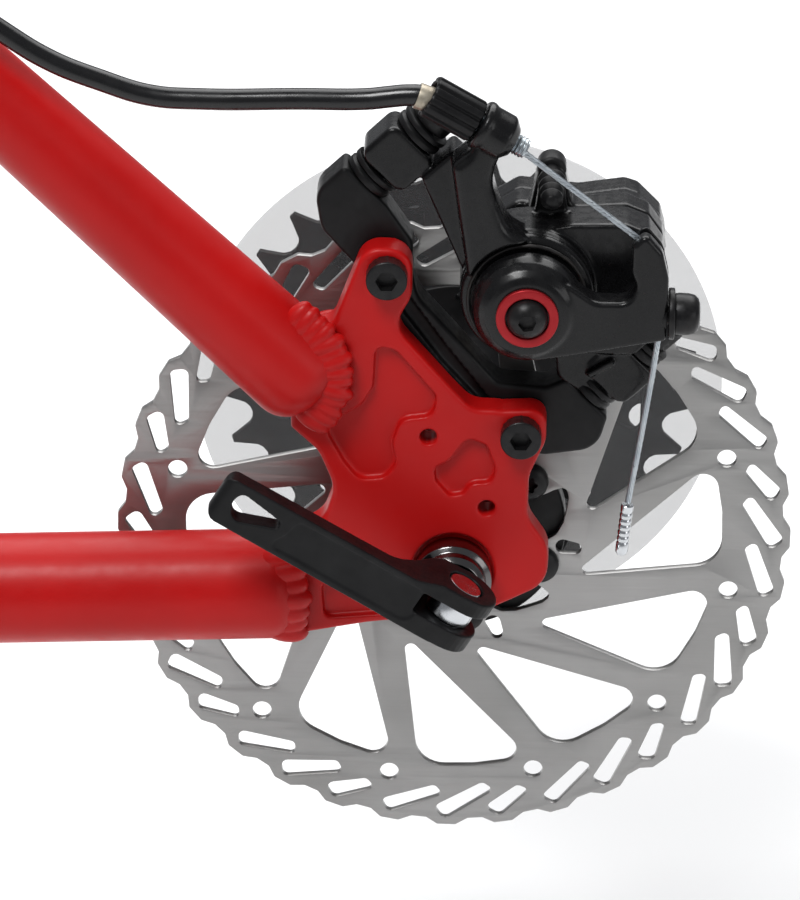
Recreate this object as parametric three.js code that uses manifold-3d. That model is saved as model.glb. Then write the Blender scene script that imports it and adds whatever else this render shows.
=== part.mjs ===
// Rear bicycle hub assembly: disc hub on its hollow axle, brake rotor, quick release,
// the left dropout with its stay ends, and the cable disc brake bolted to it.
// Millimetres. +Y runs along the axle to the drive side, +X to the rear, +Z up.
// The origin is on the axle axis, half way between the two locknut faces.
import * as THREE from 'three';
import { mergeVertices } from 'three/addons/utils/BufferGeometryUtils.js';
import Module from 'manifold-3d';

const wasm = await Module();
wasm.setup();

// ---------------------------------------------------------------- driving dimensions
const GAP = 0.3;                    // air left between pieces that touch
const DROPOUT_SPACING = 135;
const HALF = DROPOUT_SPACING / 2;
const AXLE_R = 4.9;
const AXLE_BORE_R = 2.9;
const AXLE_END = 73;

const BALL_R = 3.1;
const BALL_COUNT = 9;
const BALL_CIRCLE_R = 10.4;
const CUP_R = 13.8;
const LEFT_BALLS_Y = -51.3;
const RIGHT_BALLS_Y = 53;

const FLANGE_R = 29.5;
const SPOKE_CIRCLE_R = 26.5;
const SPOKE_HOLE_R = 1.3;
const SPOKES_PER_FLANGE = 18;

const ROTOR_R = 80;
const ROTOR_OUT_Y = -54;
const ROTOR_IN_Y = -52.2;
const ROTOR_BOLT_R = 22;
const ROTOR_BOLT_ANGLE = -22;
const ROTOR_SCALLOPS = 36;
const ROTOR_ARMS = 12;
const FIRST_ROUND_HOLE = 17.9;      // degrees; one hole at the end of each arm

const DROPOUT_IN = -HALF;
const DROPOUT_OUT = -75.5;
const AXLE_SLOT = 5.2;

const SPROCKET_PITCH = 4.8;
const SPROCKET_THICK = 1.9;
const FIRST_SPROCKET_Y = 34;
const CLUSTER_TEETH = [28, 24, 22, 20, 18, 16];
const TOP_TEETH = 14;
const CHAIN_PITCH = 12.7;

const PIVOT = [15.5, 70.5];         // brake arm pivot, which is also the middle of the pads
const MOUNT_Y = -62.3;              // plane of the caliper's two mounting bolts
const POST_UP = [-22.2, 94];        // where each mounting bolt leaves the adapter
const POST_LOW = [30.3, 41.7];
const TAB_BOLTS = [[-16.9, 75.8], [15, 36.2]];

const CABLE_Y = -80;
const CABLE_TIP = [14.1, 109.7];    // where the inner wire leaves the barrel adjuster
const CABLE_ANGLE = -29.5;
const WIRE_START = [12.7, 109.66];  // just inside the adjuster, against the lower side of its bore
const WIRE_END = [40.5, 88.2];      // where the wire meets the arm's quadrant
const WIRE_R = 0.75;
const HOUSING_R = 2.5;

const PIN_Y = -93.5;                // quick release cam barrel
const PIN_TILT = 30.5;

const DEG = Math.PI / 180;

// ---------------------------------------------------------------- solids from three.js
const vec = (x, y, z) => new THREE.Vector3(x, y, z);

function asSolid(geometry) {
  const bare = geometry.clone();
  bare.deleteAttribute('normal');
  bare.deleteAttribute('uv');
  const merged = mergeVertices(bare, 1e-4);
  const index = merged.index.array;
  const kept = [];
  for (let i = 0; i < index.length; i += 3) {
    const [a, b, c] = [index[i], index[i + 1], index[i + 2]];
    if (a !== b && b !== c && a !== c) kept.push(a, b, c);
  }
  const build = (tris) => new wasm.Manifold(new wasm.Mesh({
    numProp: 3,
    vertProperties: new Float32Array(merged.attributes.position.array),
    triVerts: new Uint32Array(tris),
  }));
  const body = build(kept);
  if (body.volume() > 0) return body;
  const flipped = [];
  for (let i = 0; i < kept.length; i += 3) flipped.push(kept[i], kept[i + 2], kept[i + 1]);
  return build(flipped);
}

function asGeometry(body) {
  const mesh = body.getMesh();
  const geometry = new THREE.BufferGeometry();
  geometry.setAttribute('position', new THREE.BufferAttribute(new Float32Array(mesh.vertProperties), 3));
  geometry.setIndex(new THREE.BufferAttribute(new Uint32Array(mesh.triVerts), 1));
  geometry.computeVertexNormals();
  return geometry;
}

const join = (bodies) => bodies.reduce((all, body) => all.add(body));
const cut = (body, tools) => tools.reduce((left, tool) => left.subtract(tool), body);

// A polygon whose corners [x, z, radius] are rounded to their radius.
function rounded(corners, steps = 3) {
  const points = [];
  const count = corners.length;
  corners.forEach(([x, z, radius = 0], i) => {
    const here = new THREE.Vector2(x, z);
    if (radius === 0) {
      points.push(here);
      return;
    }
    const before = corners[(i + count - 1) % count];
    const after = corners[(i + 1) % count];
    const back = new THREE.Vector2(before[0] - x, before[1] - z);
    const ahead = new THREE.Vector2(after[0] - x, after[1] - z);
    const reach = 0.49 * Math.min(back.length(), ahead.length());
    back.normalize();
    ahead.normalize();
    const half = Math.acos(THREE.MathUtils.clamp(back.dot(ahead), -1, 1)) / 2;
    const tangent = Math.min(radius / Math.tan(half), reach);
    const arc = tangent * Math.tan(half);
    const centre = back.clone().add(ahead).normalize().multiplyScalar(arc / Math.sin(half)).add(here);
    const from = here.clone().addScaledVector(back, tangent).sub(centre).angle();
    const to = here.clone().addScaledVector(ahead, tangent).sub(centre).angle();
    const turn = Math.atan2(Math.sin(to - from), Math.cos(to - from));
    for (let k = 0; k <= steps; k += 1) {
      const angle = from + (turn * k) / steps;
      points.push(new THREE.Vector2(centre.x + arc * Math.cos(angle), centre.y + arc * Math.sin(angle)));
    }
  });
  return points;
}

const polar = (radius, degrees) => new THREE.Vector2(
  radius * Math.cos(degrees * DEG), radius * Math.sin(degrees * DEG));

function circle(x, z, radius, sides = 16, turn = 0) {
  const points = [];
  for (let i = 0; i < sides; i += 1) {
    points.push(polar(radius, turn + (360 * i) / sides).add(new THREE.Vector2(x, z)));
  }
  return points;
}

function plateGeometry(points, y0, y1, holes = []) {
  const shape = new THREE.Shape(points);
  holes.forEach((hole) => shape.holes.push(new THREE.Path(hole)));
  const geometry = new THREE.ExtrudeGeometry(shape, { depth: y1 - y0, bevelEnabled: false, steps: 1 });
  return geometry.rotateX(Math.PI / 2).translate(0, y1, 0);
}

// A flat piece in the XZ plane, from y0 to y1.
const plate = (points, y0, y1, holes = []) => asSolid(plateGeometry(points, y0, y1, holes));

// A turned piece about the Y axis through (x, z). The profile is a list of [radius, y].
function turned(profile, segments = 24, x = 0, z = 0) {
  const closed = profile[0][0] > 0;
  const points = profile.map(([r, y]) => new THREE.Vector2(r, y));
  if (closed) points.push(points[0].clone());
  return asSolid(new THREE.LatheGeometry(points, segments).translate(x, 0, z));
}

// Moves a body made along +Y so that its Y axis runs from `from` towards `to`.
function aimed(body, from, to) {
  const along = to.clone().sub(from).normalize();
  const turn = new THREE.Quaternion().setFromUnitVectors(vec(0, 1, 0), along);
  const matrix = new THREE.Matrix4().compose(from, turn, vec(1, 1, 1));
  return asSolid(asGeometry(body).applyMatrix4(matrix));
}

function bar(from, to, radius, segments = 12) {
  const length = from.distanceTo(to);
  return aimed(turned([[0, 0], [radius, 0], [radius, length], [0, length]], segments), from, to);
}

function boxBetween(low, high) {
  const size = high.clone().sub(low);
  const middle = low.clone().add(high).multiplyScalar(0.5);
  return asSolid(new THREE.BoxGeometry(size.x, size.y, size.z).translate(middle.x, middle.y, middle.z));
}

function sweep(points, radius, sides, steps) {
  const curve = new THREE.CatmullRomCurve3(points, false, 'centripetal');
  const shape = new THREE.Shape(circle(0, 0, radius, sides));
  return asSolid(new THREE.ExtrudeGeometry(shape, { steps, extrudePath: curve, bevelEnabled: false }));
}

function coil(y0, y1, r0, r1, turns, wire, x = 0, z = 0) {
  const points = [];
  const count = Math.round(turns * 12);
  for (let i = 0; i <= count; i += 1) {
    const part = i / count;
    const flat = polar(r0 + (r1 - r0) * part, 360 * turns * part);
    points.push(vec(x + flat.x, y0 + (y1 - y0) * part, z + flat.y));
  }
  return sweep(points, wire, 5, count);
}

// A socket screw along +Y: head from -headHeight to 0, shank from 0 to length.
function capScrew({ headR, headHeight, shankR, length, socketR, dome = 0.5, segments = 12 }) {
  const screw = turned([
    [0, -headHeight], [headR - dome, -headHeight], [headR, -headHeight + dome], [headR, 0],
    [shankR, 0], [shankR, length], [0, length],
  ], segments);
  return cut(screw, [plate(circle(0, 0, socketR, 6), -headHeight - 1, -headHeight * 0.4)]);
}

// ---------------------------------------------------------------- materials
const finishes = {
  red_paint: { color: 0xb81614, metalness: 0.1, roughness: 0.38 },
  black_gloss: { color: 0x101112, metalness: 0.3, roughness: 0.28 },
  black_satin: { color: 0x1b1c1e, metalness: 0.4, roughness: 0.45 },
  black_bolt: { color: 0x141517, metalness: 0.8, roughness: 0.35 },
  rotor_steel: { color: 0xa2a2a0, metalness: 0.9, roughness: 0.4 },
  bright_steel: { color: 0xc9ccce, metalness: 1, roughness: 0.18 },
  dark_steel: { color: 0x3a3a3c, metalness: 0.85, roughness: 0.42 },
  red_anodised: { color: 0xa01c22, metalness: 0.7, roughness: 0.35 },
  clear_plastic: { color: 0xc9ccd0, metalness: 0, roughness: 0.25 },
  housing_black: { color: 0x121315, metalness: 0, roughness: 0.3 },
  pad_compound: { color: 0x6c6258, metalness: 0.2, roughness: 0.85 },
};

const model = new THREE.Group();

function add(name, body, finish) {
  const mesh = new THREE.Mesh(asGeometry(body), new THREE.MeshStandardMaterial(finishes[finish]));
  mesh.name = name;
  model.add(mesh);
}

// ---------------------------------------------------------------- hub
function flangeHoles(y0, y1, turn) {
  return Array.from({ length: SPOKES_PER_FLANGE }, (_, i) => {
    const at = polar(SPOKE_CIRCLE_R, turn + (360 * i) / SPOKES_PER_FLANGE);
    return plate(circle(at.x, at.y, SPOKE_HOLE_R, 5), y0, y1);
  });
}

function rotorBoltPlaces() {
  return Array.from({ length: 6 }, (_, i) => polar(ROTOR_BOLT_R, ROTOR_BOLT_ANGLE + 60 * i));
}

function hubShell() {
  const shell = turned([
    [CUP_R, -55.6], [17.2, -55.6], [17.2, -51.9], [27, -51.9], [27, -46.5], [17, -44], [16, -40],
    [22, -38.3], [FLANGE_R, -38.3], [FLANGE_R, -35.2], [22, -35.2], [16, -33], [13, -27], [13, 14],
    [16, 20.5], [22, 21.8], [FLANGE_R, 21.8], [FLANGE_R, 24.9], [22, 24.9], [16, 26.2], [11.1, 28],
    [11.1, 47.5], [15.1, 47.5], [15.1, 57.7], [CUP_R, 57.7], [CUP_R, 49.4], [6.2, 49.4], [6.2, -47.8],
    [CUP_R, -47.8],
  ], 24);
  const threads = rotorBoltPlaces().map((at) => plate(circle(at.x, at.y, 2.75, 8), -53, -40));
  return cut(shell, [...flangeHoles(-39, -34, 0), ...flangeHoles(21, 26, 10), ...threads]);
}

function cone(ballsY, side) {
  const at = (offset) => ballsY + side * offset;
  return turned([
    [5.2, at(8.7)], [8.5, at(8.7)], [8.5, at(3.6)], [7.6, at(1.9)], [6.9, at(0)], [6.3, at(-2.1)],
    [5.2, at(-2.1)],
  ], 16);
}

function cagedBalls(y) {
  const cage = turned([[9.7, y - 1], [11.1, y - 1], [11.1, y + 1], [9.7, y + 1]], 18);
  const balls = Array.from({ length: BALL_COUNT }, (_, i) => {
    const at = polar(BALL_CIRCLE_R, (360 * i) / BALL_COUNT);
    return asSolid(new THREE.SphereGeometry(BALL_R, 6, 4).translate(at.x, y, at.y));
  });
  return join([cage, ...balls]);
}

const locknut = (y0, y1) => plate(circle(0, 0, 9.8, 6, 30), y0, y1, [circle(0, 0, 5.2, 12)]);

function makeHub() {
  add('hub_shell', hubShell(), 'black_satin');
  add('axle', turned([
    [AXLE_BORE_R, -AXLE_END], [AXLE_R, -AXLE_END], [AXLE_R, AXLE_END], [AXLE_BORE_R, AXLE_END],
  ], 16), 'dark_steel');
  add('cone_left', cone(LEFT_BALLS_Y, -1), 'bright_steel');
  add('cone_right', cone(RIGHT_BALLS_Y, 1), 'bright_steel');
  add('caged_balls_left', cagedBalls(LEFT_BALLS_Y), 'bright_steel');
  add('caged_balls_right', cagedBalls(RIGHT_BALLS_Y), 'bright_steel');
  add('locknut_left', locknut(-HALF + GAP, -60.3), 'dark_steel');
  add('locknut_right', locknut(62, HALF), 'dark_steel');
  add('dust_cap_left', turned([
    [8.9, -58.2], [16.5, -58.2], [16.5, -55.9], [13.5, -55.9], [13.5, -54.9], [12.7, -54.9],
    [12.7, -57], [8.9, -57],
  ], 20), 'black_satin');
}

// ---------------------------------------------------------------- freehub and sprockets
function toothed(teeth, y, boreR) {
  const pitchR = CHAIN_PITCH / (2 * Math.sin(Math.PI / teeth));
  const step = 360 / teeth;
  const points = [];
  for (let i = 0; i < teeth; i += 1) {
    points.push(polar(pitchR - 3.9, i * step));
    points.push(polar(pitchR + 3, (i + 0.36) * step));
    points.push(polar(pitchR + 3, (i + 0.64) * step));
  }
  return plate(points, y - SPROCKET_THICK / 2, y + SPROCKET_THICK / 2, [circle(0, 0, boreR, 20)]);
}

function cluster() {
  const last = FIRST_SPROCKET_Y + SPROCKET_PITCH * (CLUSTER_TEETH.length - 1);
  const tube = turned([
    [17.6, 32], [20.5, 32], [20.5, last + SPROCKET_THICK / 2], [17.6, last + SPROCKET_THICK / 2],
  ], 20);
  const rings = CLUSTER_TEETH.map((teeth, i) => toothed(teeth, FIRST_SPROCKET_Y + SPROCKET_PITCH * i, 17.6));
  return join([tube, ...rings]);
}

function driver() {
  const outline = [];
  for (let i = 0; i < 9; i += 1) {
    [[16.4, 0], [17.3, 4], [17.3, 20], [16.4, 24]].forEach(([r, a]) => outline.push(polar(r, i * 40 + a)));
  }
  const splined = plate(outline, 31.4, 63.6);
  const stop = turned([[0, 28.6], [19, 28.6], [19, 31.6], [0, 31.6]], 24);
  const bore = turned([[0, 27], [11.5, 27], [11.5, 47.1], [15.5, 47.1], [15.5, 65], [0, 65]], 24);
  return cut(splined.add(stop), [bore]);
}

function makeFreehub() {
  add('freehub_driver', driver(), 'dark_steel');
  add('sprocket_cluster', cluster(), 'dark_steel');
  const topY = FIRST_SPROCKET_Y + SPROCKET_PITCH * CLUSTER_TEETH.length;
  const spacer = turned([[17.6, 59.3], [20, 59.3], [20, topY], [17.6, topY]], 20);
  add('sprocket_smallest', toothed(TOP_TEETH, topY, 17.6).add(spacer), 'dark_steel');
  add('cassette_lockring', turned([
    [12.6, 64.1], [14, 64.1], [14, 58.6], [15.2, 58.6], [15.2, 64.1], [18.4, 64.1], [18.4, 65.4],
    [12.6, 65.4],
  ], 24), 'bright_steel');
  add('spoke_protector', turned([[21.3, 29.2], [66, 29.2], [66, 30.4], [21.3, 30.4]], 40), 'clear_plastic');
}

// ---------------------------------------------------------------- rotor
// One sixth of the rotor's bore: the tab round a bolt, then the lobed opening after it.
function rotorBore() {
  const sixth = [
    [17.7, 8], [17.7, -8], [20.5, -13], [26, -12.5], [28.2, -13], [28.9, -15], [28.6, -19],
    [27.3, -25], [26.1, -32], [24.4, -39], [21.5, -45], [18.2, -50],
  ];
  const points = [];
  for (let i = 0; i < 6; i += 1) {
    sixth.forEach(([r, a]) => points.push(polar(r, ROTOR_BOLT_ANGLE - 60 * i + a)));
  }
  return points;
}

// Outlines as [radius, angle, rounding]; the slots' angles are from the arm's round hole.
const slotAfterHole = [
  [70.8, -4.2], [71, -3], [72.2, -2.2], [73.3, -2.2], [77.5, -6.8], [77.9, -9.2], [76.6, -10.6],
  [75, -10.4],
];
const slotMiddle = [
  [69.1, -11.3], [68.9, -10.3], [70, -9.1], [71.6, -9.3], [78.2, -17.2], [77.8, -19.4], [76, -19.7],
  [74.7, -18.8],
];
const slotBeforeHole = [
  [69.4, -19.9], [70.4, -19.2], [72, -19.2], [77.8, -27.2], [77, -29.4], [75.7, -30], [75, -29.7],
];
const armWindow = [[30.3, 0, 1.5], [64.2, 16.1, 7], [63.9, 28.4, 12], [64.2, 40.8, 6]];
const hubOval = [[24.6, -4.95, 2.2], [24.6, 4.95, 2.2], [30.8, 2.4, 2.2], [30.8, -2.4, 2.2]];

// A hole whose corners are given as [radius, angle, rounding], turned by an angle.
function polarHole(corners, turn, steps = 1) {
  return rounded(corners.map(([r, a, round = 0]) => [...polar(r, a + turn).toArray(), round]), steps);
}

function rotorRim() {
  const points = [];
  const step = 360 / ROTOR_SCALLOPS;
  for (let i = 0; i < ROTOR_SCALLOPS; i += 1) {
    [[ROTOR_R, -1.6], [ROTOR_R, 1.6], [78.3, 3.8], [78.3, 6.4]].forEach(([r, a]) => {
      points.push(polar(r, i * step + a));
    });
  }
  return points;
}

function rotor() {
  const holes = [rotorBore()];
  rotorBoltPlaces().forEach((at) => holes.push(circle(at.x, at.y, 2.75, 8)));
  for (let i = 0; i < 6; i += 1) {
    holes.push(polarHole(hubOval, ROTOR_BOLT_ANGLE + 14 + 60 * i));
  }
  for (let i = 0; i < ROTOR_ARMS; i += 1) {
    const turn = FIRST_ROUND_HOLE + 30 * i;
    const round = polar(67.3, turn);
    holes.push(circle(round.x, round.y, 2.3, 10));
    holes.push(polarHole(armWindow, 7.5 + 30 * i, 2));
    [slotAfterHole, slotMiddle, slotBeforeHole].forEach((slot) => holes.push(polarHole(slot, turn)));
  }
  const disc = plate(rotorRim(), ROTOR_OUT_Y, ROTOR_IN_Y);
  return cut(disc, holes.map((hole) => plate(hole, ROTOR_OUT_Y - 1, ROTOR_IN_Y + 1)));
}

function makeRotor() {
  add('brake_rotor', rotor(), 'rotor_steel');
  const bolt = capScrew({ headR: 4.75, headHeight: 2.8, shankR: 2.4, length: 8.6, socketR: 2.2, dome: 1.6 });
  rotorBoltPlaces().forEach((at, i) => {
    add(`rotor_bolt_${i + 1}`, bolt.translate([at.x, ROTOR_OUT_Y - GAP, at.y]), 'black_bolt');
  });
}

// ---------------------------------------------------------------- dropout and stays
const dropoutOutline = [
  [-22.3, 81.9, 5.5], [-11.1, 81.9, 5.5], [-11, 70, 8], [-15, 62.5, 8], [-1, 46.5, 5], [3.5, 41.8, 7],
  [8.8, 41.8, 3], [10.6, 41.6, 2], [20.9, 42.3, 5.5], [20.9, 34, 7], [17.2, 25, 9], [17.2, 14, 8],
  [22.4, 6.5, 8], [22.2, -3, 8], [14.5, -7.2, 6], [AXLE_SLOT, -12, 1.5],
];
const dropoutLeft = [
  [-AXLE_SLOT, -12.5, 1.5], [-20, -14.6, 6], [-38.5, -18.5, 1], [-38.5, 7.5, 2], [-30.5, 12.5, 7],
  [-28, 20.5, 9], [-32, 30, 8], [-38.5, 36, 1], [-38.5, 61, 1.5], [-29.2, 62.4, 4],
];
const pocketHigh = [
  [-19.3, 57.5, 3], [-14.5, 56.5, 3], [-4.6, 44.9, 3], [-5.6, 39.8, 3], [-13, 38.7, 3.5],
  [-14.8, 32.6, 4], [-13.6, 27.4, 4], [-16.5, 23.6, 3], [-22.5, 22.9, 4], [-26, 27.4, 3],
  [-30.3, 35.2, 3], [-28.3, 38.5, 2], [-22.3, 42.2, 4], [-19.6, 46.9, 4],
];
const pocketLow = [
  [2.6, 34.6, 2.5], [-1.6, 28.5, 3], [-5, 26.5, 2], [-4.6, 23.2, 2], [-1.3, 19.2, 2], [2, 19.8, 2],
  [3.6, 22.6, 3], [8.5, 23, 2.5], [9.4, 26.6, 2.5], [7.2, 32.8, 2.5],
];
const pocketStay = [[-32, -3, 2], [-14, -9.5, 3], [-16, -12.5, 2], [-31, -13.5, 2]];

function dropout() {
  const slotTop = Array.from({ length: 9 }, (_, i) => polar(AXLE_SLOT, i * 22.5).toArray());
  const edge = rounded([...dropoutOutline, ...slotTop, ...dropoutLeft], 2);
  const body = plate(edge, DROPOUT_OUT, DROPOUT_IN);
  const floor = DROPOUT_OUT + 2;
  const pockets = [pocketHigh, pocketLow, pocketStay].map(
    (outline) => plate(rounded(outline, 1), DROPOUT_OUT - 1, floor));
  const dish = turned([
    [0, DROPOUT_OUT - 1], [10, DROPOUT_OUT - 1], [9.6, DROPOUT_OUT], [8.5, floor], [0, floor],
  ], 24);
  const drilled = [[-6.5, 34.5], [7.5, 16.5]].map(([x, z]) => plate(circle(x, z, 2, 10), -77, -66));
  const tabs = TAB_BOLTS.map(([x, z]) => plate(circle(x, z, 3.2, 12), -77, -66));
  return cut(body, [...pockets, dish, ...drilled, ...tabs]);
}

// A stay end: a tapered tube, open at its far end, slotted over the dropout's tongue.
function stay(far, near, farR, nearR) {
  const length = far.distanceTo(near);
  const wall = 1.8;
  const tube = turned([
    [farR, 0], [nearR, length - 5], [nearR - 2.2, length - 1], [nearR - 5, length], [0, length],
    [0, length - 4], [nearR - wall, length - 6], [farR - wall, 0],
  ].reverse(), 20);
  const slot = boxBetween(vec(-39, DROPOUT_OUT - GAP, -40), vec(-10, DROPOUT_IN + GAP, 90));
  return aimed(tube, far, near).subtract(slot);
}

function makeFrameEnd() {
  add('dropout_plate', dropout(), 'red_paint');
  const stayY = (DROPOUT_IN + DROPOUT_OUT) / 2;
  add('seatstay_end', stay(vec(-114, stayY, 122), vec(-31.5, stayY, 43.8), 10.2, 12.2), 'red_paint');
  add('chainstay_end', stay(vec(-114, stayY, -10.2), vec(-31.5, stayY, -6.1), 13, 13), 'red_paint');
}

// ---------------------------------------------------------------- quick release
// Head frame: u runs away from the cam barrel along the lever, w along the barrel, y along the axle.
const pinW = vec(Math.sin(PIN_TILT * DEG), 0, Math.cos(PIN_TILT * DEG));
const leverU = vec(-Math.cos(PIN_TILT * DEG), 0, Math.sin(PIN_TILT * DEG));

function inLeverFrame(body) {
  const matrix = new THREE.Matrix4().makeBasis(leverU, vec(0, 1, 0), pinW);
  return asSolid(asGeometry(body).applyMatrix4(matrix));
}

function lever() {
  const plan = rounded([
    [-9, -7.3, 1.5], [4, -7.6, 6], [57, -7.3, 6], [62.4, -7.3, 5.5], [62.4, 4.5, 5.5], [57, 4.5, 6],
    [12, 4.6, 6], [6, 6.7, 3], [-9, 6.7, 1.5],
  ], 3);
  const side = rounded([
    [-8.3, -101.3, 7], [20, -101.3, 9], [62.4, -101.3, 2], [62.4, -96, 2], [18, -95.6, 8], [8.3, -87, 6],
    [-8.3, -85.4, 7],
  ], 4);
  const sideShape = new THREE.ExtrudeGeometry(new THREE.Shape(side), { depth: 26, bevelEnabled: false });
  const blade = plate(plan, -103, -84).intersect(asSolid(sideShape.translate(0, 0, -13)));
  const window = plate(rounded([
    [58.2, -0.9, 3], [57.6, 2.4, 3], [46.4, 0.5, 0.8], [46.2, -1.2, 0.8], [56.6, -5, 2.4],
  ], 2), -103, -94);
  const fork = boxBetween(vec(-12, -104, -2.7), vec(9, -80, 2.7));
  const bore = bar(vec(0, PIN_Y, -12), vec(0, PIN_Y, 12), 4.6, 16);
  return inLeverFrame(cut(blade, [window, fork, bore]));
}

function makeQuickRelease() {
  add('qr_lever', lever(), 'black_satin');
  const pin = inLeverFrame(bar(vec(0, PIN_Y, -7.1), vec(0, PIN_Y, 6.5), 4.2, 16));
  add('qr_cam_pin', cut(pin, [bar(vec(0, -100, 0), vec(0, -80, 0), 2.8)]), 'bright_steel');
  const eye = bar(vec(0, PIN_Y - 3, 0), vec(0, PIN_Y + 3, 0), 2.4);
  add('qr_rod', bar(vec(0, -96.4, 0), vec(0, 92, 0), 2.5).add(eye), 'bright_steel');
  add('qr_cam_cap', turned([
    [2.9, -84.9], [7, -84.9], [7.9, -84], [7.9, -82], [9.2, -81.2], [9.2, -75.8], [6.4, -75.8],
    [6.4, -78.6], [2.9, -78.6],
  ], 24), 'bright_steel');
  add('qr_spring_left', coil(-78, -73.6, 5.4, 3.6, 2, 0.35), 'bright_steel');
  const ribs = circle(0, 0, 8.6, 24).map((p, i) => p.multiplyScalar(i % 2 ? 1 : 0.95));
  const nutBore = turned([[0, 74], [6.5, 74], [6.5, 79], [2.8, 79], [2.8, 95], [0, 95]], 12);
  add('qr_nut', cut(plate(ribs, 75, 88), [nutBore]), 'black_satin');
  add('qr_spring_right', coil(73.6, 78.6, 3.6, 5.6, 2, 0.35), 'bright_steel');
}

// ---------------------------------------------------------------- adapter and its bolts
const B = Math.SQRT1_2;             // mounting bolts point up and back at 45 degrees

// A point on a mounting bolt's axis, s along the bolt and t across it.
const onBolt = ([x, z], s, t = 0) => [x + B * (s + t), z + B * (s - t)];
const at3 = ([x, z], y) => vec(x, y, z);

function adapter() {
  const outline = rounded([
    [...onBolt(POST_UP, 0, -6.9), 1.2], [-34, 92, 6], [-32.5, 83, 6], [-24, 73.5, 4], [-23.4, 66, 5],
    [-6, 44, 8], [6, 31, 8], [20, 26.5, 8], [33, 28.6, 7], [...onBolt(POST_LOW, 0, 6.9), 1.2],
    [...onBolt(POST_LOW, 0, -6.9), 1.2], [20.5, 44.2, 3], [9.5, 44.8, 4], [-9.8, 66.5, 8], [-11.3, 74, 5],
    [-11, 80, 4], [...onBolt(POST_UP, 0, 6.9), 1.2],
  ], 2);
  const body = plate(outline, DROPOUT_IN + GAP, -57.6);
  const threads = [POST_UP, POST_LOW].map(
    (post) => bar(at3(onBolt(post, -10), MOUNT_Y), at3(onBolt(post, 2), MOUNT_Y), 3.3));
  const tabs = TAB_BOLTS.map(([x, z]) => plate(circle(x, z, 3.2, 12), -70, -56));
  return cut(body, [...threads, ...tabs]);
}

function boltAlongMount(body, post, s) {
  return aimed(body, at3(onBolt(post, s), MOUNT_Y), at3(onBolt(post, s - 10), MOUNT_Y));
}

function washerPair() {
  return turned([[3.5, 0], [6.2, 0], [6.2, 1.5], [5.4, 1.9], [6.2, 2.3], [6.2, 3.7], [3.5, 3.7]], 16);
}

function makeAdapter() {
  add('caliper_adapter', adapter(), 'black_satin');
  const tabBolt = capScrew({ headR: 4.85, headHeight: 4.4, shankR: 2.9, length: 17.3, socketR: 2.9 });
  TAB_BOLTS.forEach(([x, z], i) => {
    add(`adapter_bolt_${i + 1}`, tabBolt.translate([x, DROPOUT_OUT - GAP, z]), 'black_bolt');
  });
  const mountBolt = capScrew({ headR: 5, headHeight: 6, shankR: 2.9, length: 29, socketR: 2.9 });
  const names = ['upper', 'lower'];
  [POST_UP, POST_LOW].forEach((post, i) => {
    add(`mount_bolt_${names[i]}`, boltAlongMount(mountBolt, post, 20), 'black_bolt');
    add(`washers_inner_${names[i]}`, boltAlongMount(washerPair(), post, 4), 'black_satin');
    add(`washers_outer_${names[i]}`, boltAlongMount(washerPair(), post, 19.7), 'black_satin');
  });
}

// ---------------------------------------------------------------- caliper
const [PX, PZ] = PIVOT;
const cableDir = vec(Math.cos(CABLE_ANGLE * DEG), 0, Math.sin(CABLE_ANGLE * DEG));
const onCable = (t) => at3(CABLE_TIP, CABLE_Y).addScaledVector(cableDir, t);
const BODY_BOLTS = [[20.4, 94.8], [40.5, 80]];

function ear(post) {
  const block = [[4.3, -6.9], [15.7, -6.9], [15.7, 6.9], [4.3, 6.9]];
  const corners = block.map(([s, t]) => [...onBolt(post, s, t), 2.4]);
  return plate(rounded(corners, 1), MOUNT_Y - 5.7, MOUNT_Y + 5.7);
}

function earSlot(post) {
  return [-1.2, 1.2].map((shift) => bar(
    at3(onBolt(post, 0), MOUNT_Y + shift), at3(onBolt(post, 18), MOUNT_Y + shift), 3.3, 10));
}

// The space that a mounting bolt's head and washers need beyond the ear.
const headRoom = (post) => bar(at3(onBolt(post, 15.7), MOUNT_Y), at3(onBolt(post, 40), MOUNT_Y), 7, 14);

const INNER_FACE = -57.8;           // of the outboard half, towards the rotor

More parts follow.
